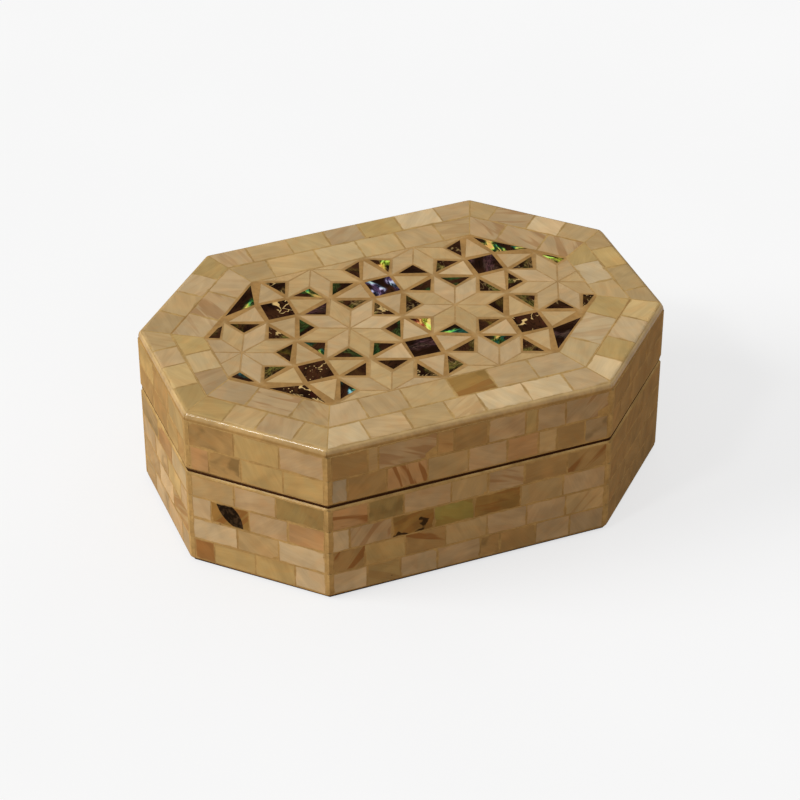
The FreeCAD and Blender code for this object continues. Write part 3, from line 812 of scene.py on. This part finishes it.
def islands(mesh):
    """The separate pieces of a bmesh, each a list of vertices, in order along the sorting line."""
    left = set(mesh.verts)
    found = []
    for first in mesh.verts:
        if first not in left:
            continue
        left.discard(first)
        piece = [first]
        for vertex in piece:
            for edge in vertex.link_edges:
                other = edge.other_vert(vertex)
                if other in left:
                    left.discard(other)
                    piece.append(other)
        found.append(piece)
    return sorted(found, key=lambda piece: middle_of(piece).dot(SORTING_LINE))


def outward_of(piece, on_top):
    """The direction a piece shows its face in."""
    if on_top:
        return Vector((0, 0, 1))

    def rank(face):
        return face.calc_area() * face.normal.dot(face.calc_center_median())

    faces = dict.fromkeys(face for vertex in piece for face in vertex.link_faces)
    upright = [face for face in faces if abs(face.normal.z) < 0.01 and rank(face) > 0]
    return max(upright, key=rank).normal.copy()


def longest_edge(piece):
    """The level direction of a piece's longest edge, of equal ones the furthest along the sorting line."""
    arms = []
    for edge in dict.fromkeys(edge for vertex in piece for edge in vertex.link_edges):
        arm = (edge.verts[1].co - edge.verts[0].co).xy.to_3d()
        arms.append(arm if arm.dot(SORTING_LINE) > 0 else -arm)
    return max(arms, key=lambda arm: (round(arm.length / MM, 1), arm.dot(SORTING_LINE))).normalized()


def number_pieces(mesh, on_top, squared):
    """Stores each piece's number, outward direction, and own flat coordinates and reach in millimetres."""
    layers = mesh.verts.layers
    number = layers.int.new("piece")
    lay, reach = (layers.float_vector.new(name) for name in ("lay", "reach"))
    inside = layers.float.new("inside")
    outward = layers.float_vector.new("outward")
    for place, piece in enumerate(islands(mesh)):
        normal = outward_of(piece, on_top)
        along = longest_edge(piece) if on_top else Vector((0, 0, 1)).cross(normal)
        axes = Matrix((along, normal.cross(along), normal))
        spots = [axes @ vertex.co / MM for vertex in piece]
        low, high = (Vector([pick(spot[axis] for spot in spots) for axis in range(3)]) for pick in (min, max))
        for vertex, spot in zip(piece, spots):
            vertex[number] = place
            vertex[lay] = spot - (low + high) / 2
            vertex[reach] = (high - low) / 2 if squared else UNBOUNDED
            vertex[inside] = float(squared)
            vertex[outward] = normal
    if squared:
        return
    faces = [face for face in mesh.faces if face.normal.z > 0.99]
    bmesh.ops.inset_individual(mesh, faces=faces, thickness=RIM_WIDTH * MM, use_even_offset=True)
    for face in faces:
        for vertex in face.verts:
            vertex[inside] = 1.0


def hand_laid_tree(name):
    """Geometry nodes that give each piece its own tint, figure and slope, by chance from a seed."""
    shares = ("Slope", "Tone Middle", "Tone Spread", "Tint Spread", "Streak Share", "Turn")
    inputs = {"Geometry": GEOMETRY, "Seed": WHOLE, **dict.fromkeys(shares, VALUE), "Material": MATERIAL}
    graph, given, result = new_tree(name, inputs, {"Geometry": GEOMETRY}, "GeometryNodeTree")

    def named(label, kind):
        node = graph.add("GeometryNodeInputNamedAttribute", {"Name": label}, data_type=kind)
        return node.outputs["Attribute"]

    def draw(step, low=0.0, high=1.0):
        inputs = {2: low, 3: high, "ID": named("piece", "INT"), "Seed": graph.plus(given["Seed"], step)}
        return graph.add("FunctionNodeRandomValue", inputs, data_type="FLOAT").outputs[1]

    def seldom(step, power, share):
        """A draw that is small more often than large."""
        return graph.times(graph.math("POWER", draw(step), power), share)

    def store(geometry, label, value, kind="FLOAT"):
        inputs = {"Geometry": geometry, "Name": label, "Value": value}
        return graph.add("GeometryNodeStoreNamedAttribute", inputs, data_type=kind, domain="POINT").outputs[0]

    lay = named("lay", "FLOAT_VECTOR")
    x, y, _ = graph.parts(lay)
    lean = graph.plus(graph.times(x, draw(1, -1.0)), graph.times(y, draw(2, -1.0)))
    sink = graph.times(graph.times(graph.math("MAXIMUM", lean, 0.0), given["Slope"]), -MM)
    moved = graph.vector("MULTIPLY", named("outward", "FLOAT_VECTOR"), graph.combined(sink, sink, sink))
    shape = graph.add("GeometryNodeSetPosition", {"Geometry": given["Geometry"], "Offset": moved}).outputs[0]

    turned = graph.turned(lay, graph.times(draw(3, -math.pi / 2, math.pi / 2), given["Turn"]))
    home = graph.combined(*(draw(step, 0.0, FIGURE_ROOM) for step in (4, 5, 6)))
    shape = store(shape, "grain", graph.vector("ADD", turned, home), "FLOAT_VECTOR")
    stored = {
        "tone": graph.plus(graph.times(draw(7, -0.5, 0.5), given["Tone Spread"]), given["Tone Middle"]),
        "tint": seldom(8, 1.5, given["Tint Spread"]),
        "streak": seldom(9, 4.0, given["Streak Share"]),
        "smoke": seldom(10, 6.0, given["Streak Share"]),
        "fragment": 0.0,
        "pit": 0.0,
        "glow": graph.times(draw(11), 0.35),
        "sheen": draw(12, 0.0, sheen("olive")),
        "curl": seldom(13, 6.0, 0.6),
    }
    for label, value in stored.items():
        shape = store(shape, label, value)
    end_tree(graph, given, result, shape)
    return graph.tree


def end_tree(graph, given, result, shape):
    """Ends a geometry tree with real geometry of one material."""
    shape = graph.add("GeometryNodeRealizeInstances", {"Geometry": shape}).outputs[0]
    inputs = {"Geometry": shape, "Material": given["Material"]}
    graph.fill(result, {"Geometry": graph.add("GeometryNodeSetMaterial", inputs).outputs[0]})


def chances(tone, tone_spread, tint_spread, streaks, turn, **others):
    """How a group of pale pieces varies."""
    return {"Tone Middle": tone, "Tone Spread": tone_spread, "Tint Spread": tint_spread,
            "Streak Share": streaks, "Turn": turn, **others}


SIDE_CHANCES = chances(tone=0.5, tone_spread=1.0, tint_spread=0.5, streaks=0.6, turn=0.9)
BORDER_CHANCES = chances(tone=0.64, tone_spread=0.8, tint_spread=0.32, streaks=0.3, turn=0.9, Slope=0.0)
STAR_CHANCES = chances(tone=0.76, tone_spread=0.45, tint_spread=0.15, streaks=0.1, turn=1.0)
DARK_CHANCES = {"Turn": 1.0}


def lay_pieces(node, material, settings, values, on_top=True, squared=True):
    """Dresses one node of shell pieces."""
    mesh = merged_copy(node)
    ease_edges(mesh, settings.edge_ease, segments=1)
    number_pieces(mesh, on_top, squared)
    piece = new_piece("laid_" + node, mesh, material)
    seed = settings.seed + SEED_STEP * SHELL_NODES.index(node)
    set_tree_inputs(piece, kept_tree("Hand-laid pieces", hand_laid_tree),
                    {"Seed": seed, "Slope": settings.slope, "Material": material, **values})
    bake_modifiers(piece)
    return piece


def mark_pieces(piece, marks, reach):
    """Gives single pieces their own look. Marks are pairs of a point and values by attribute name."""
    data = piece.data
    places = np.empty(len(data.vertices) * 3)
    data.vertices.foreach_get("co", places)
    places = places.reshape(-1, 3)
    numbers = np.empty(len(data.vertices), dtype=int)
    data.attributes["piece"].data.foreach_get("value", numbers)
    middles = np.array([places[numbers == number].mean(axis=0) for number in range(numbers.max() + 1)])
    for point, values in marks:
        distances = np.linalg.norm(middles - np.array(point), axis=1)
        nearest = int(distances.argmin())
        if distances[nearest] > reach:
            continue
        for name, value in values.items():
            layer = data.attributes[name].data
            for index in np.flatnonzero(numbers == nearest):
                layer[int(index)].value = value


def side_point(side, along, course):
    """A point on one side of the box, from millimetres along it and the number of a course."""
    start, end = side_ends(box_octagon(0), side)
    spot = start + (end - start).normalized() * along * MM
    return (spot.x, spot.y, COURSE_HEIGHTS[course - 1] * MM)


def side_marks():
    """Marks for the tiles of the sides."""
    return [(side_point(side, along, course), PALE_LOOKS[look]) for side, looks in MARKED_SIDE_TILES.items()
            for look, spots in looks.items() for along, course in spots]


def lid_marks(marked, looks, node):
    """Marks for pieces of the lid top, at the height of a node's upper face."""
    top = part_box(node)[1][2]
    return [((x * MM, y * MM, top), looks[look]) for look, spots in marked.items() for x, y in spots]


class MOSAIC_OT_side_courses(bpy.types.Operator):
    """Lays the courses of pale shell round the base and the lid rim"""
    bl_idname = "mosaic_box.side_courses"
    bl_label = "Side courses"

    def execute(self, context):
        settings = context.scene.box_shell
        material = pale_shell_material("pale_shell_sides", context.scene.box_filler.colour, cloud=0.09)
        for node, body in SIDE_COURSES.items():
            piece = lay_pieces(node, material, settings, SIDE_CHANCES, on_top=False)
            mark_pieces(piece, side_marks(), SIDE_TILE_REACH)
            hand_over(piece, body, "pale_shell", node)
        return {"FINISHED"}


class MOSAIC_OT_lid_border(bpy.types.Operator):
    """Lays the two rings of pale shell round the star field"""
    bl_idname = "mosaic_box.lid_border"
    bl_label = "Lid border"

    def execute(self, context):
        settings = context.scene.box_shell
        material = pale_shell_material("pale_shell_border", context.scene.box_filler.colour, cloud=0.05)
        marks = lid_marks(MARKED_TOP_TILES, PALE_LOOKS, "inner_border_tiles")
        for node in BORDER_TILES:
            piece = lay_pieces(node, material, settings, BORDER_CHANCES)
            mark_pieces(piece, marks, SIDE_TILE_REACH)
            shade_edge_round(piece)
            hand_over(piece, LID, "pale_shell", node)
        return {"FINISHED"}


class MOSAIC_OT_stars(bpy.types.Operator):
    """Lays the pale petals of the stars and the points between them"""
    bl_idname = "mosaic_box.stars"
    bl_label = "Stars"

    def execute(self, context):
        settings = context.scene.box_shell
        material = pale_shell_material("pale_shell_stars", context.scene.box_filler.field_colour, cloud=0.04)
        for node in STAR_PIECES:
            piece = lay_pieces(node, material, settings, STAR_CHANCES, squared=False)
            hand_over(piece, LID, "pale_shell", node)
        return {"FINISHED"}


class MOSAIC_OT_dark_shell(bpy.types.Operator):
    """Lays the dark triangles and squares"""
    bl_idname = "mosaic_box.dark_shell"
    bl_label = "Dark shell"

    def execute(self, context):
        settings = context.scene.box_shell
        material = dark_shell_material("dark_shell")
        marks = lid_marks(MARKED_DARK_PIECES, DARK_LOOKS, "dark_squares")
        for node in DARK_PIECES:
            piece = lay_pieces(node, material, settings, DARK_CHANCES, squared=False)
            mark_pieces(piece, marks, DARK_PIECE_REACH)
            hand_over(piece, LID, "dark_shell", node)
        return {"FINISHED"}


# Filler, with its sizes in millimetres

ARC_STEPS = 3           # flats that make up a rounded corner on each side of it
HALF_TURN = math.radians(22.5)  # half of the turn from one side to the next
SIDE_ROUND_DEPTH = 0.6  # how far in the upright corners are rounded
TOP_ROUND_DEPTH = 0.95
JOINT_FLOOR = 1.25      # bottom of a joint below the face
HINGE_RELIEF = 2.1      # kept clear of the seam along the back
LIP_DEPTH = 0.35        # lip of filler in the seam, painted dark as shade: how far in it starts, and its two levels from the parting
LIP_LEVELS = (0.02, 0.36)
EDGE_ROUND = 1.8        # how far in the round along the lid's top edge reaches
EDGE_START = 1.0        # where joints start on that round, and how far it has dropped there
EDGE_DROP = 0.22
FIELD_GAP = 0.2         # border joints to the star field
TOUCH = 0.01            # two corners nearer than this touch


def round_corners(mesh, radius, deepest):
    """Turns the sharp upright corners of the box into arcs, down to a depth below its sides."""
    corners = box_octagon(0)
    slant = math.tan(HALF_TURN)
    for place, corner in enumerate(corners):
        for other in (corners[place - 1], corners[(place + 1) % len(corners)]):
            along = (corner - other).normalized()
            outward = along.orthogonal()
            if outward.dot(corner) < 0:
                outward.negate()
            for step in range(1, ARC_STEPS + 1):
                cut = corner - along * radius * slant * step / ARC_STEPS
                near = [face for face in mesh.faces
                        if any((vertex.co.xy - corner).length < 2 * radius for vertex in face.verts)]
                parts = dict.fromkeys(item for face in near for item in (face, *face.edges, *face.verts))
                bmesh.ops.bisect_plane(mesh, geom=list(parts), plane_co=cut.to_3d(), plane_no=along.to_3d(),
                                       dist=TINY / 2)
            for vertex in mesh.verts:
                arm = corner - vertex.co.xy
                depth = arm.dot(outward)
                arc = radius - depth
                before = arm.dot(along) - depth * slant
                tangent = arc * slant
                if -TINY < depth < deepest and -TINY < before < tangent:
                    angle = HALF_TURN * (1 - before / tangent)
                    back = tangent - arc * math.sin(angle) - before
                    vertex.co.xy = vertex.co.xy - along * back - outward * arc * (1 - math.cos(angle))


def shade_edge_round(piece):
    """Shades the flats along the lid's top edge as the one round that they follow."""
    data = piece.data
    top = CAD_BOX[1][2]
    radius = top - BEAD_HEIGHT * MM
    normals = []
    for polygon in data.polygons:
        level = Vector((polygon.normal.x, polygon.normal.y, 0))
        sloped = 0.05 < polygon.normal.z < 0.995
        for index in polygon.vertices:
            rise = min(max((data.vertices[index].co.z - top) / radius + 1, 0), 1)
            round_normal = level.normalized() * math.sqrt(1 - rise * rise) + Vector((0, 0, rise))
            normals.append(round_normal if sloped else polygon.normal)
    data.normals_split_custom_set(normals)


def add_course_joints(mesh, course, joint_depth):
    """Filler in the hairlines between the tiles of one course, clear of the hinges at the back."""
    low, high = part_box(course)
    floor = JOINT_FLOOR * MM
    seam = SEAM_HEIGHT * MM
    for side in SIDE_NAMES:
        relief = HINGE_RELIEF * MM if "back" in side else 0.0
        bottom = low[2] if low[2] < seam else max(low[2], seam + relief)
        top = high[2] if low[2] > seam else min(high[2], seam - relief)
        profile = [(joint_depth, bottom), (joint_depth, top), (floor, top), (floor, bottom)]
        add_octagon_ring(mesh, profile, (side,))


def add_seam_shade_lip(mesh, up):
    """Packed dirt that narrows the seam behind its edges, below (up -1) or above (up 1) the parting."""
    low, high = sorted((SEAM_HEIGHT + up * level) * MM for level in LIP_LEVELS)
    start, floor = LIP_DEPTH * MM, JOINT_FLOOR * MM
    profile = [(start, low), (start, high), (floor, high), (floor, low)]
    add_octagon_ring(mesh, profile, [name for name in SIDE_NAMES if "back" not in name])


def add_border_joints(mesh, joint_depth):
    """Filler in the hairlines between the border tiles, following the rounded edge of the lid."""
    top = CAD_BOX[1][2] - joint_depth
    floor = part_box("outer_border_tiles")[0][2]
    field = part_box("star_petals")[1]
    ends = ("left", "right")
    for axis, sides in ((1, [name for name in SIDE_NAMES if name not in ends]), (0, ends)):
        inner = CAD_BOX[1][axis] - field[axis] - FIELD_GAP * MM
        profile = [(EDGE_START * MM, floor), (EDGE_START * MM, top - EDGE_DROP * MM), (EDGE_ROUND * MM, top),
                   (inner, top), (inner, floor)]
        add_octagon_ring(mesh, profile, sides)


def tell_petal_joints(mesh):
    """Marks the corners of the filler that touch the corner of a petal."""
    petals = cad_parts["star_petals"].data.vertices
    corners = kdtree.KDTree(len(petals))
    for place, corner in enumerate(petals):
        corners.insert(corner.co, place)
    corners.balance()
    by_petal = mesh.verts.layers.float.new("by_petal")
    for vertex in mesh.verts:
        vertex[by_petal] = float(corners.find(vertex.co)[2] < TOUCH * MM)


class MOSAIC_OT_filler(bpy.types.Operator):
    """Makes the filler round the base, round the lid rim and on the lid top"""
    bl_idname = "mosaic_box.filler"
    bl_label = "Filler"

    def execute(self, context):
        settings = context.scene.box_filler
        material = filler_material("filler", settings.colour, settings.petal_colour)
        for node, body, up in (("base_filler", BASE, -1), ("lid_rim_filler", LID, 1)):
            mesh = merged_copy(node, join_flats=False)
            round_corners(mesh, settings.corner_round, SIDE_ROUND_DEPTH * MM)
            add_seam_shade_lip(mesh, up)
            for course in (name for name, course_body in SIDE_COURSES.items() if course_body == body):
                add_course_joints(mesh, course, settings.joint_depth)
            piece = rounded_piece("bedded_" + node, mesh, material, degrees=35)
            hand_over(piece, body, "filler", node)
        mesh = merged_copy("lid_top_filler", join_flats=False)
        round_corners(mesh, settings.corner_round, TOP_ROUND_DEPTH * MM)
        tell_petal_joints(mesh)
        field_low, field_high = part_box("star_petals")
        for face in mesh.faces:
            middle = face.calc_center_median()
            in_field = all(field_low[axis] < middle[axis] < field_high[axis] for axis in (0, 1))
            face.material_index = int(in_field)
        add_border_joints(mesh, settings.joint_depth)
        piece = new_piece("bedded_lid_top_filler", mesh, material)
        field = filler_material("field_filler", settings.field_colour, settings.petal_colour)
        piece.data.materials.append(field)
        shade_edge_round(piece)
        hand_over(piece, LID, "filler", "lid_top_filler")
        return {"FINISHED"}


# Carcass, linings and felt

PAD_STEPS = 14      # points along each side of a pad
PAD_DENT = 0.06     # how unevenly a pad is stuffed, as a share of its thickness
# Rings of a pad from its edge to its middle: share of its outline, and share of its thickness
PAD_RINGS = ((1.0, 0.0), (1.0, 0.80), (0.997, 0.86), (0.99, 0.89), (0.97, 0.92), (0.92, 0.95),
             (0.8, 0.97), (0.6, 0.985), (0.4, 0.99), (0.2, 0.995))
FELT_EASE = 0.25    # softened edge of the felt, in millimetres
WALL_PAD = 0.8      # thickness of the lining on the walls, in millimetres
# Lower half of a wall lining: share of its thickness, and share of its height
WALL_PAD_CURVE = ((0.80, 0.0), (0.90, 0.04), (0.97, 0.15), (1.0, 0.4))


class MOSAIC_OT_carcass(bpy.types.Operator):
    """Gives every board of the carcass a wood whose grain runs along it"""
    bl_idname = "mosaic_box.carcass"
    bl_label = "Carcass"

    def execute(self, context):
        for place, side in enumerate(SIDE_NAMES):
            wood = wood_material(f"wood_{side}", math.radians(45 * place))
            dress_solid(f"base_{side}_board", wood)
            dress_solid(f"lid_{side}_rail", wood)
        lengthwise = wood_material("wood_lengthwise", 0.0)
        dress_solid("base_floor_board", lengthwise)
        dress_solid("lid_top_board", lengthwise)
        return {"FINISHED"}


def crowned_pad(name, node, up, material):
    """A thin stuffed pad that fills the place of a lining: flat against its board, crowned on its face."""
    low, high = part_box(node)
    thickness = high[2] - low[2]
    back = low[2] if up > 0 else high[2]
    corners = box_octagon(CAD_BOX[1][1] - high[1])
    outline = [start.lerp(end, step / PAD_STEPS) for start, end in zip(corners, corners[1:] + corners[:1])
               for step in range(PAD_STEPS)]
    mesh = bmesh.new()
    loops = []
    for scale, share in PAD_RINGS:
        loop = []
        for point in outline:
            spot = Vector((point.x * scale, point.y * scale, 0))
            dent = PAD_DENT * (1 + noise.noise(spot * 60 + Vector((7.0 * up, 0, 0)))) if share else 0.0
            spot.z = back + up * thickness * (share - dent * share)
            loop.append(mesh.verts.new(spot))
        loops.append(loop)
    for lower, upper in zip(loops, loops[1:]):
        for place in range(len(outline)):
            following = (place + 1) % len(outline)
            mesh.faces.new((lower[place], lower[following], upper[following], upper[place]))
    mesh.faces.new(loops[0][::-1])
    mesh.faces.new(loops[-1])
    bmesh.ops.recalc_face_normals(mesh, faces=mesh.faces)
    return rounded_piece(name, mesh, material, degrees=50)


def wall_pad(name, node, material):
    """A thin stuffed lining round the walls, fuller in the middle than at its edges."""
    low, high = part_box(node)
    back = CAD_BOX[1][1] - high[1]
    height = high[2] - low[2]
    curve = (*WALL_PAD_CURVE, *((share, 1 - place) for share, place in WALL_PAD_CURVE[::-1]))
    profile = [(back + WALL_PAD * MM * share, low[2] + height * place) for share, place in curve]
    profile = [(back, low[2]), *profile, (back, high[2])]
    mesh = bmesh.new()
    add_octagon_ring(mesh, profile)
    bmesh.ops.remove_doubles(mesh, verts=mesh.verts, dist=TINY)
    hidden = [face for face in mesh.faces if all(len(edge.link_faces) > 2 for edge in face.edges)]
    bmesh.ops.delete(mesh, geom=hidden, context="FACES_ONLY")
    bmesh.ops.recalc_face_normals(mesh, faces=mesh.faces)
    return rounded_piece(name, mesh, material, degrees=40)


class MOSAIC_OT_linings(bpy.types.Operator):
    """Makes the velvet linings of the base and the lid"""
    bl_idname = "mosaic_box.linings"
    bl_label = "Velvet linings"

    def execute(self, context):
        settings = context.scene.box_lining
        velvet = cloth_material("velvet", settings.velvet, glow=0.8, depth=0.08 * MM)
        pieces = (
            (crowned_pad("padded_base_floor", "base_floor_lining", 1, velvet), BASE, "base_floor_lining"),
            (wall_pad("padded_base_walls", "base_wall_lining", velvet), BASE, "base_wall_lining"),
            (crowned_pad("padded_lid_top", "lid_top_lining", -1, velvet), LID, "lid_top_lining"),
            (wall_pad("padded_lid_rim", "lid_rim_lining", velvet), LID, "lid_rim_lining"),
        )
        for piece, body, node in pieces:
            hand_over(piece, body, "velvet", node)
        return {"FINISHED"}


class MOSAIC_OT_underside(bpy.types.Operator):
    """Makes the felt under the base"""
    bl_idname = "mosaic_box.underside"
    bl_label = "Underside felt"

    def execute(self, context):
        settings = context.scene.box_lining
        felt = cloth_material("felt", settings.felt, glow=0.3, depth=0.05 * MM)
        mesh = merged_copy("underside_felt")
        ease_edges(mesh, FELT_EASE * MM, segments=3)
        area = max(face.calc_area() for face in mesh.faces)
        piece = rounded_piece("felt_underside", mesh, felt, degrees=35)
        hand_over(piece, BASE, "underside_felt", "underside_felt")
        return {"FINISHED"}


# Hinges

SCREW_SEED = 3


def slotted_screw(settings):
    """One countersunk screw with a slotted head, its head's middle at the origin and its point down."""
    low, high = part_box("base_hinge_screws")
    head = (high[1] - low[1]) / 2
    length = high[2] - low[2]
    profile = ((0.0, 0.0), (head * 0.97, 0.0), (head, -0.05 * MM), (head * 0.56, -0.45 * MM),
               (head * 0.54, -length * 0.75), (0.0, -length))
    mesh = bmesh.new()
    points = [mesh.verts.new((radius, 0, height)) for radius, height in profile]
    edges = [mesh.edges.new(pair) for pair in zip(points, points[1:])]
    bmesh.ops.spin(mesh, geom=points + edges, axis=(0, 0, 1), cent=(0, 0, 0), angle=math.tau,
                   steps=settings.segments, use_duplicate=False)
    bmesh.ops.remove_doubles(mesh, verts=mesh.verts, dist=2 * TINY)
    bmesh.ops.recalc_face_normals(mesh, faces=mesh.faces)
    screw = new_piece("screw_pattern", mesh, None)
    cutter = bmesh.new()
    size = Matrix.Diagonal((head * 3, settings.slot_width, settings.slot_depth * 2, 1))
    bmesh.ops.create_cube(cutter, size=1.0, matrix=size)
    slot = new_piece("slot_pattern", cutter, None)
    cut = screw.modifiers.new("Slot", "BOOLEAN")
    cut.object = slot
    cut.operation = "DIFFERENCE"
    cut.solver = "EXACT"
    bake_modifiers(screw)
    bpy.data.objects.remove(slot)
    return screw


def screw_tree(name):
    """Geometry nodes that set one screw at each point, each turned by chance."""
    inputs = {"Geometry": GEOMETRY, "Screw": OBJECT, "Tip Over": VALUE, "Seed": WHOLE, "Material": MATERIAL}
    graph, given, result = new_tree(name, inputs, {"Geometry": GEOMETRY}, "GeometryNodeTree")
    pattern = graph.add("GeometryNodeObjectInfo", {"Object": given["Screw"]}).outputs["Geometry"]
    index = graph.add("GeometryNodeInputIndex").outputs[0]
    turn = graph.add("FunctionNodeRandomValue", {2: 0.0, 3: math.pi, "ID": index, "Seed": given["Seed"]},
                     data_type="FLOAT").outputs[1]
    placed = graph.add("GeometryNodeInstanceOnPoints", {
        "Points": given["Geometry"], "Instance": pattern,
        "Rotation": graph.combined(given["Tip Over"], 0.0, turn)}).outputs[0]
    end_tree(graph, given, result, placed)
    return graph.tree


def screw_points(node, head_height):
    """A mesh of one point at the head of each screw in a node."""
    solids = merged_copy(node)
    mesh = bmesh.new()
    for piece in islands(solids):
        mesh.verts.new((*middle_of(piece).xy, head_height))
    solids.free()
    return mesh


class MOSAIC_OT_hinges(bpy.types.Operator):
    """Gives the hinges their brass and sets their screws"""
    bl_idname = "mosaic_box.hinges"
    bl_label = "Hinges"

    def execute(self, context):
        settings = context.scene.box_hinge
        brass = brass_material("hinge_brass", settings.brass)
        for hand in ("left", "right"):
            for part in ("base_leaf", "lid_leaf", "pin"):
                dress_solid(f"{hand}_hinge_{part}", brass)
        pattern = slotted_screw(settings)
        base_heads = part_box("base_hinge_screws")[1][2]
        lid_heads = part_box("lid_hinge_screws")[0][2]
        for node, body, height, tip_over in (("base_hinge_screws", BASE, base_heads, 0.0),
                                             ("lid_hinge_screws", LID, lid_heads, math.pi)):
            piece = new_piece("slotted_" + node, screw_points(node, height), brass)
            set_tree_inputs(piece, kept_tree("Hinge screws", screw_tree), {
                "Screw": pattern, "Tip Over": tip_over, "Seed": SCREW_SEED, "Material": brass})
            bake_modifiers(piece)
            hand_over(piece, body, "hinge_brass", node)
        bpy.data.objects.remove(pattern)
        return {"FINISHED"}


# Stage

FLOOR_SIZE = 6.0        # metres
PALENESS = 0.72         # how far the floor shines by itself, so that its shadow stays light
TABLE = (0.48, 0.31, 0.16, 1.0)     # brown that soft light from the floor takes on
KEY_SPREAD = 30         # how wide each light looks from the box, in degrees
SIDE_SPREAD = 8


def seen_directly(graph):
    """1 for rays from the camera, from a reflection or through glass, and 0 for soft light."""
    path = graph.add("ShaderNodeLightPath").outputs
    seen = graph.math("MAXIMUM", path["Is Camera Ray"], path["Is Glossy Ray"])
    return graph.math("MAXIMUM", seen, path["Is Transmission Ray"])


def white_world(settings):
    world = bpy.data.worlds.new("studio")
    world.use_nodes = True
    graph = Graph(world.node_tree)
    soft, white = ((level, level, level, 1.0) for level in (settings.sky, settings.backdrop))
    graph.fill(world.node_tree.nodes["Background"], {"Color": graph.mix(seen_directly(graph), soft, white)})
    return world


def floor_material(settings):
    """White to the eye with a light shadow, and a warm brown table to the sides of the box."""
    material = bpy.data.materials.new("floor")
    material.use_nodes = True
    tree = material.node_tree
    tree.nodes.remove(tree.nodes["Principled BSDF"])
    graph = Graph(tree)
    seen = seen_directly(graph)
    place = graph.add("ShaderNodeTexCoord").outputs["Object"]
    mottle = graph.between(graph.noise(place, 9.0, 3.0), 0.2, 0.8, 0.985, 1.0)
    white = graph.grey(graph.times(mottle, settings.backdrop))
    shaded = graph.add("ShaderNodeBsdfDiffuse", {"Color": graph.mix(seen, TABLE, white)})
    bright = graph.add("ShaderNodeEmission", {"Color": white})
    shown = graph.add("ShaderNodeMixShader", {0: graph.times(seen, PALENESS), 1: shaded.outputs[0],
                                              2: bright.outputs[0]})
    graph.fill(tree.nodes["Material Output"], {"Surface": shown.outputs[0]})
    return material


def add_sun(name, direction, strength, angle):
    light = bpy.data.lights.new(name, "SUN")
    light.energy = strength
    light.angle = math.radians(angle)
    lamp = bpy.data.objects.new(name, light)
    lamp.rotation_euler = Vector(direction).to_track_quat("Z", "Y").to_euler()
    bpy.context.collection.objects.link(lamp)


class MOSAIC_OT_stage(bpy.types.Operator):
    """Sets the floor, the light and the camera"""
    bl_idname = "mosaic_box.stage"
    bl_label = "Stage"

    def execute(self, context):
        settings = context.scene.box_stage
        scene = context.scene
        scene.world = white_world(settings)
        mesh = bmesh.new()
        bmesh.ops.create_grid(mesh, x_segments=1, y_segments=1, size=FLOOR_SIZE)
        floor = new_piece("floor", mesh, floor_material(settings))
        add_sun("key_light", settings.key_from, settings.key_strength, KEY_SPREAD)
        add_sun("side_light", settings.side_from, settings.side_strength, SIDE_SPREAD)
        camera = bpy.data.cameras.new("camera")
        camera.lens = settings.lens
        camera.clip_start = 0.01
        eye = bpy.data.objects.new("camera", camera)
        eye.location = settings.camera_place
        look = Vector(settings.camera_aim) - Vector(settings.camera_place)
        eye.rotation_euler = look.to_track_quat("-Z", "Y").to_euler()
        context.collection.objects.link(eye)
        scene.camera = eye
        scene.view_settings.view_transform = "Standard"
        return {"FINISHED"}


OPERATORS = (MOSAIC_OT_side_courses, MOSAIC_OT_lid_border, MOSAIC_OT_stars, MOSAIC_OT_dark_shell,
             MOSAIC_OT_filler, MOSAIC_OT_carcass, MOSAIC_OT_linings, MOSAIC_OT_underside,
             MOSAIC_OT_hinges, MOSAIC_OT_stage)
SETTINGS = {"box_shell": ShellSettings, "box_filler": FillerSettings, "box_lining": LiningSettings,
            "box_hinge": HingeSettings, "box_stage": StageSettings}


class MOSAIC_PT_panel(bpy.types.Panel):
    """Lists the pieces of the box"""
    bl_label = "Mosaic box"
    bl_space_type = "VIEW_3D"
    bl_region_type = "UI"
    bl_category = "Mosaic box"

    def draw(self, context):
        for operator in OPERATORS:
            self.layout.operator(operator.bl_idname)
        for name, kind in SETTINGS.items():
            column = self.layout.column(heading=kind.__doc__)
            for label in kind.__annotations__:
                column.prop(getattr(context.scene, name), label)


def register():
    for kind in (*SETTINGS.values(), *OPERATORS, MOSAIC_PT_panel):
        bpy.utils.register_class(kind)
    for name, kind in SETTINGS.items():
        setattr(bpy.types.Scene, name, bpy.props.PointerProperty(type=kind))


def unregister():
    for name in SETTINGS:
        delattr(bpy.types.Scene, name)
    for kind in (MOSAIC_PT_panel, *reversed(OPERATORS), *SETTINGS.values()):
        bpy.utils.unregister_class(kind)


def main():
    """Dresses the whole box and writes its size before and after."""
    register()
    for operator in OPERATORS:
        group, name = operator.bl_idname.split(".")
        getattr(getattr(bpy.ops, group), name)()


if __name__ == "__main__":
    main()
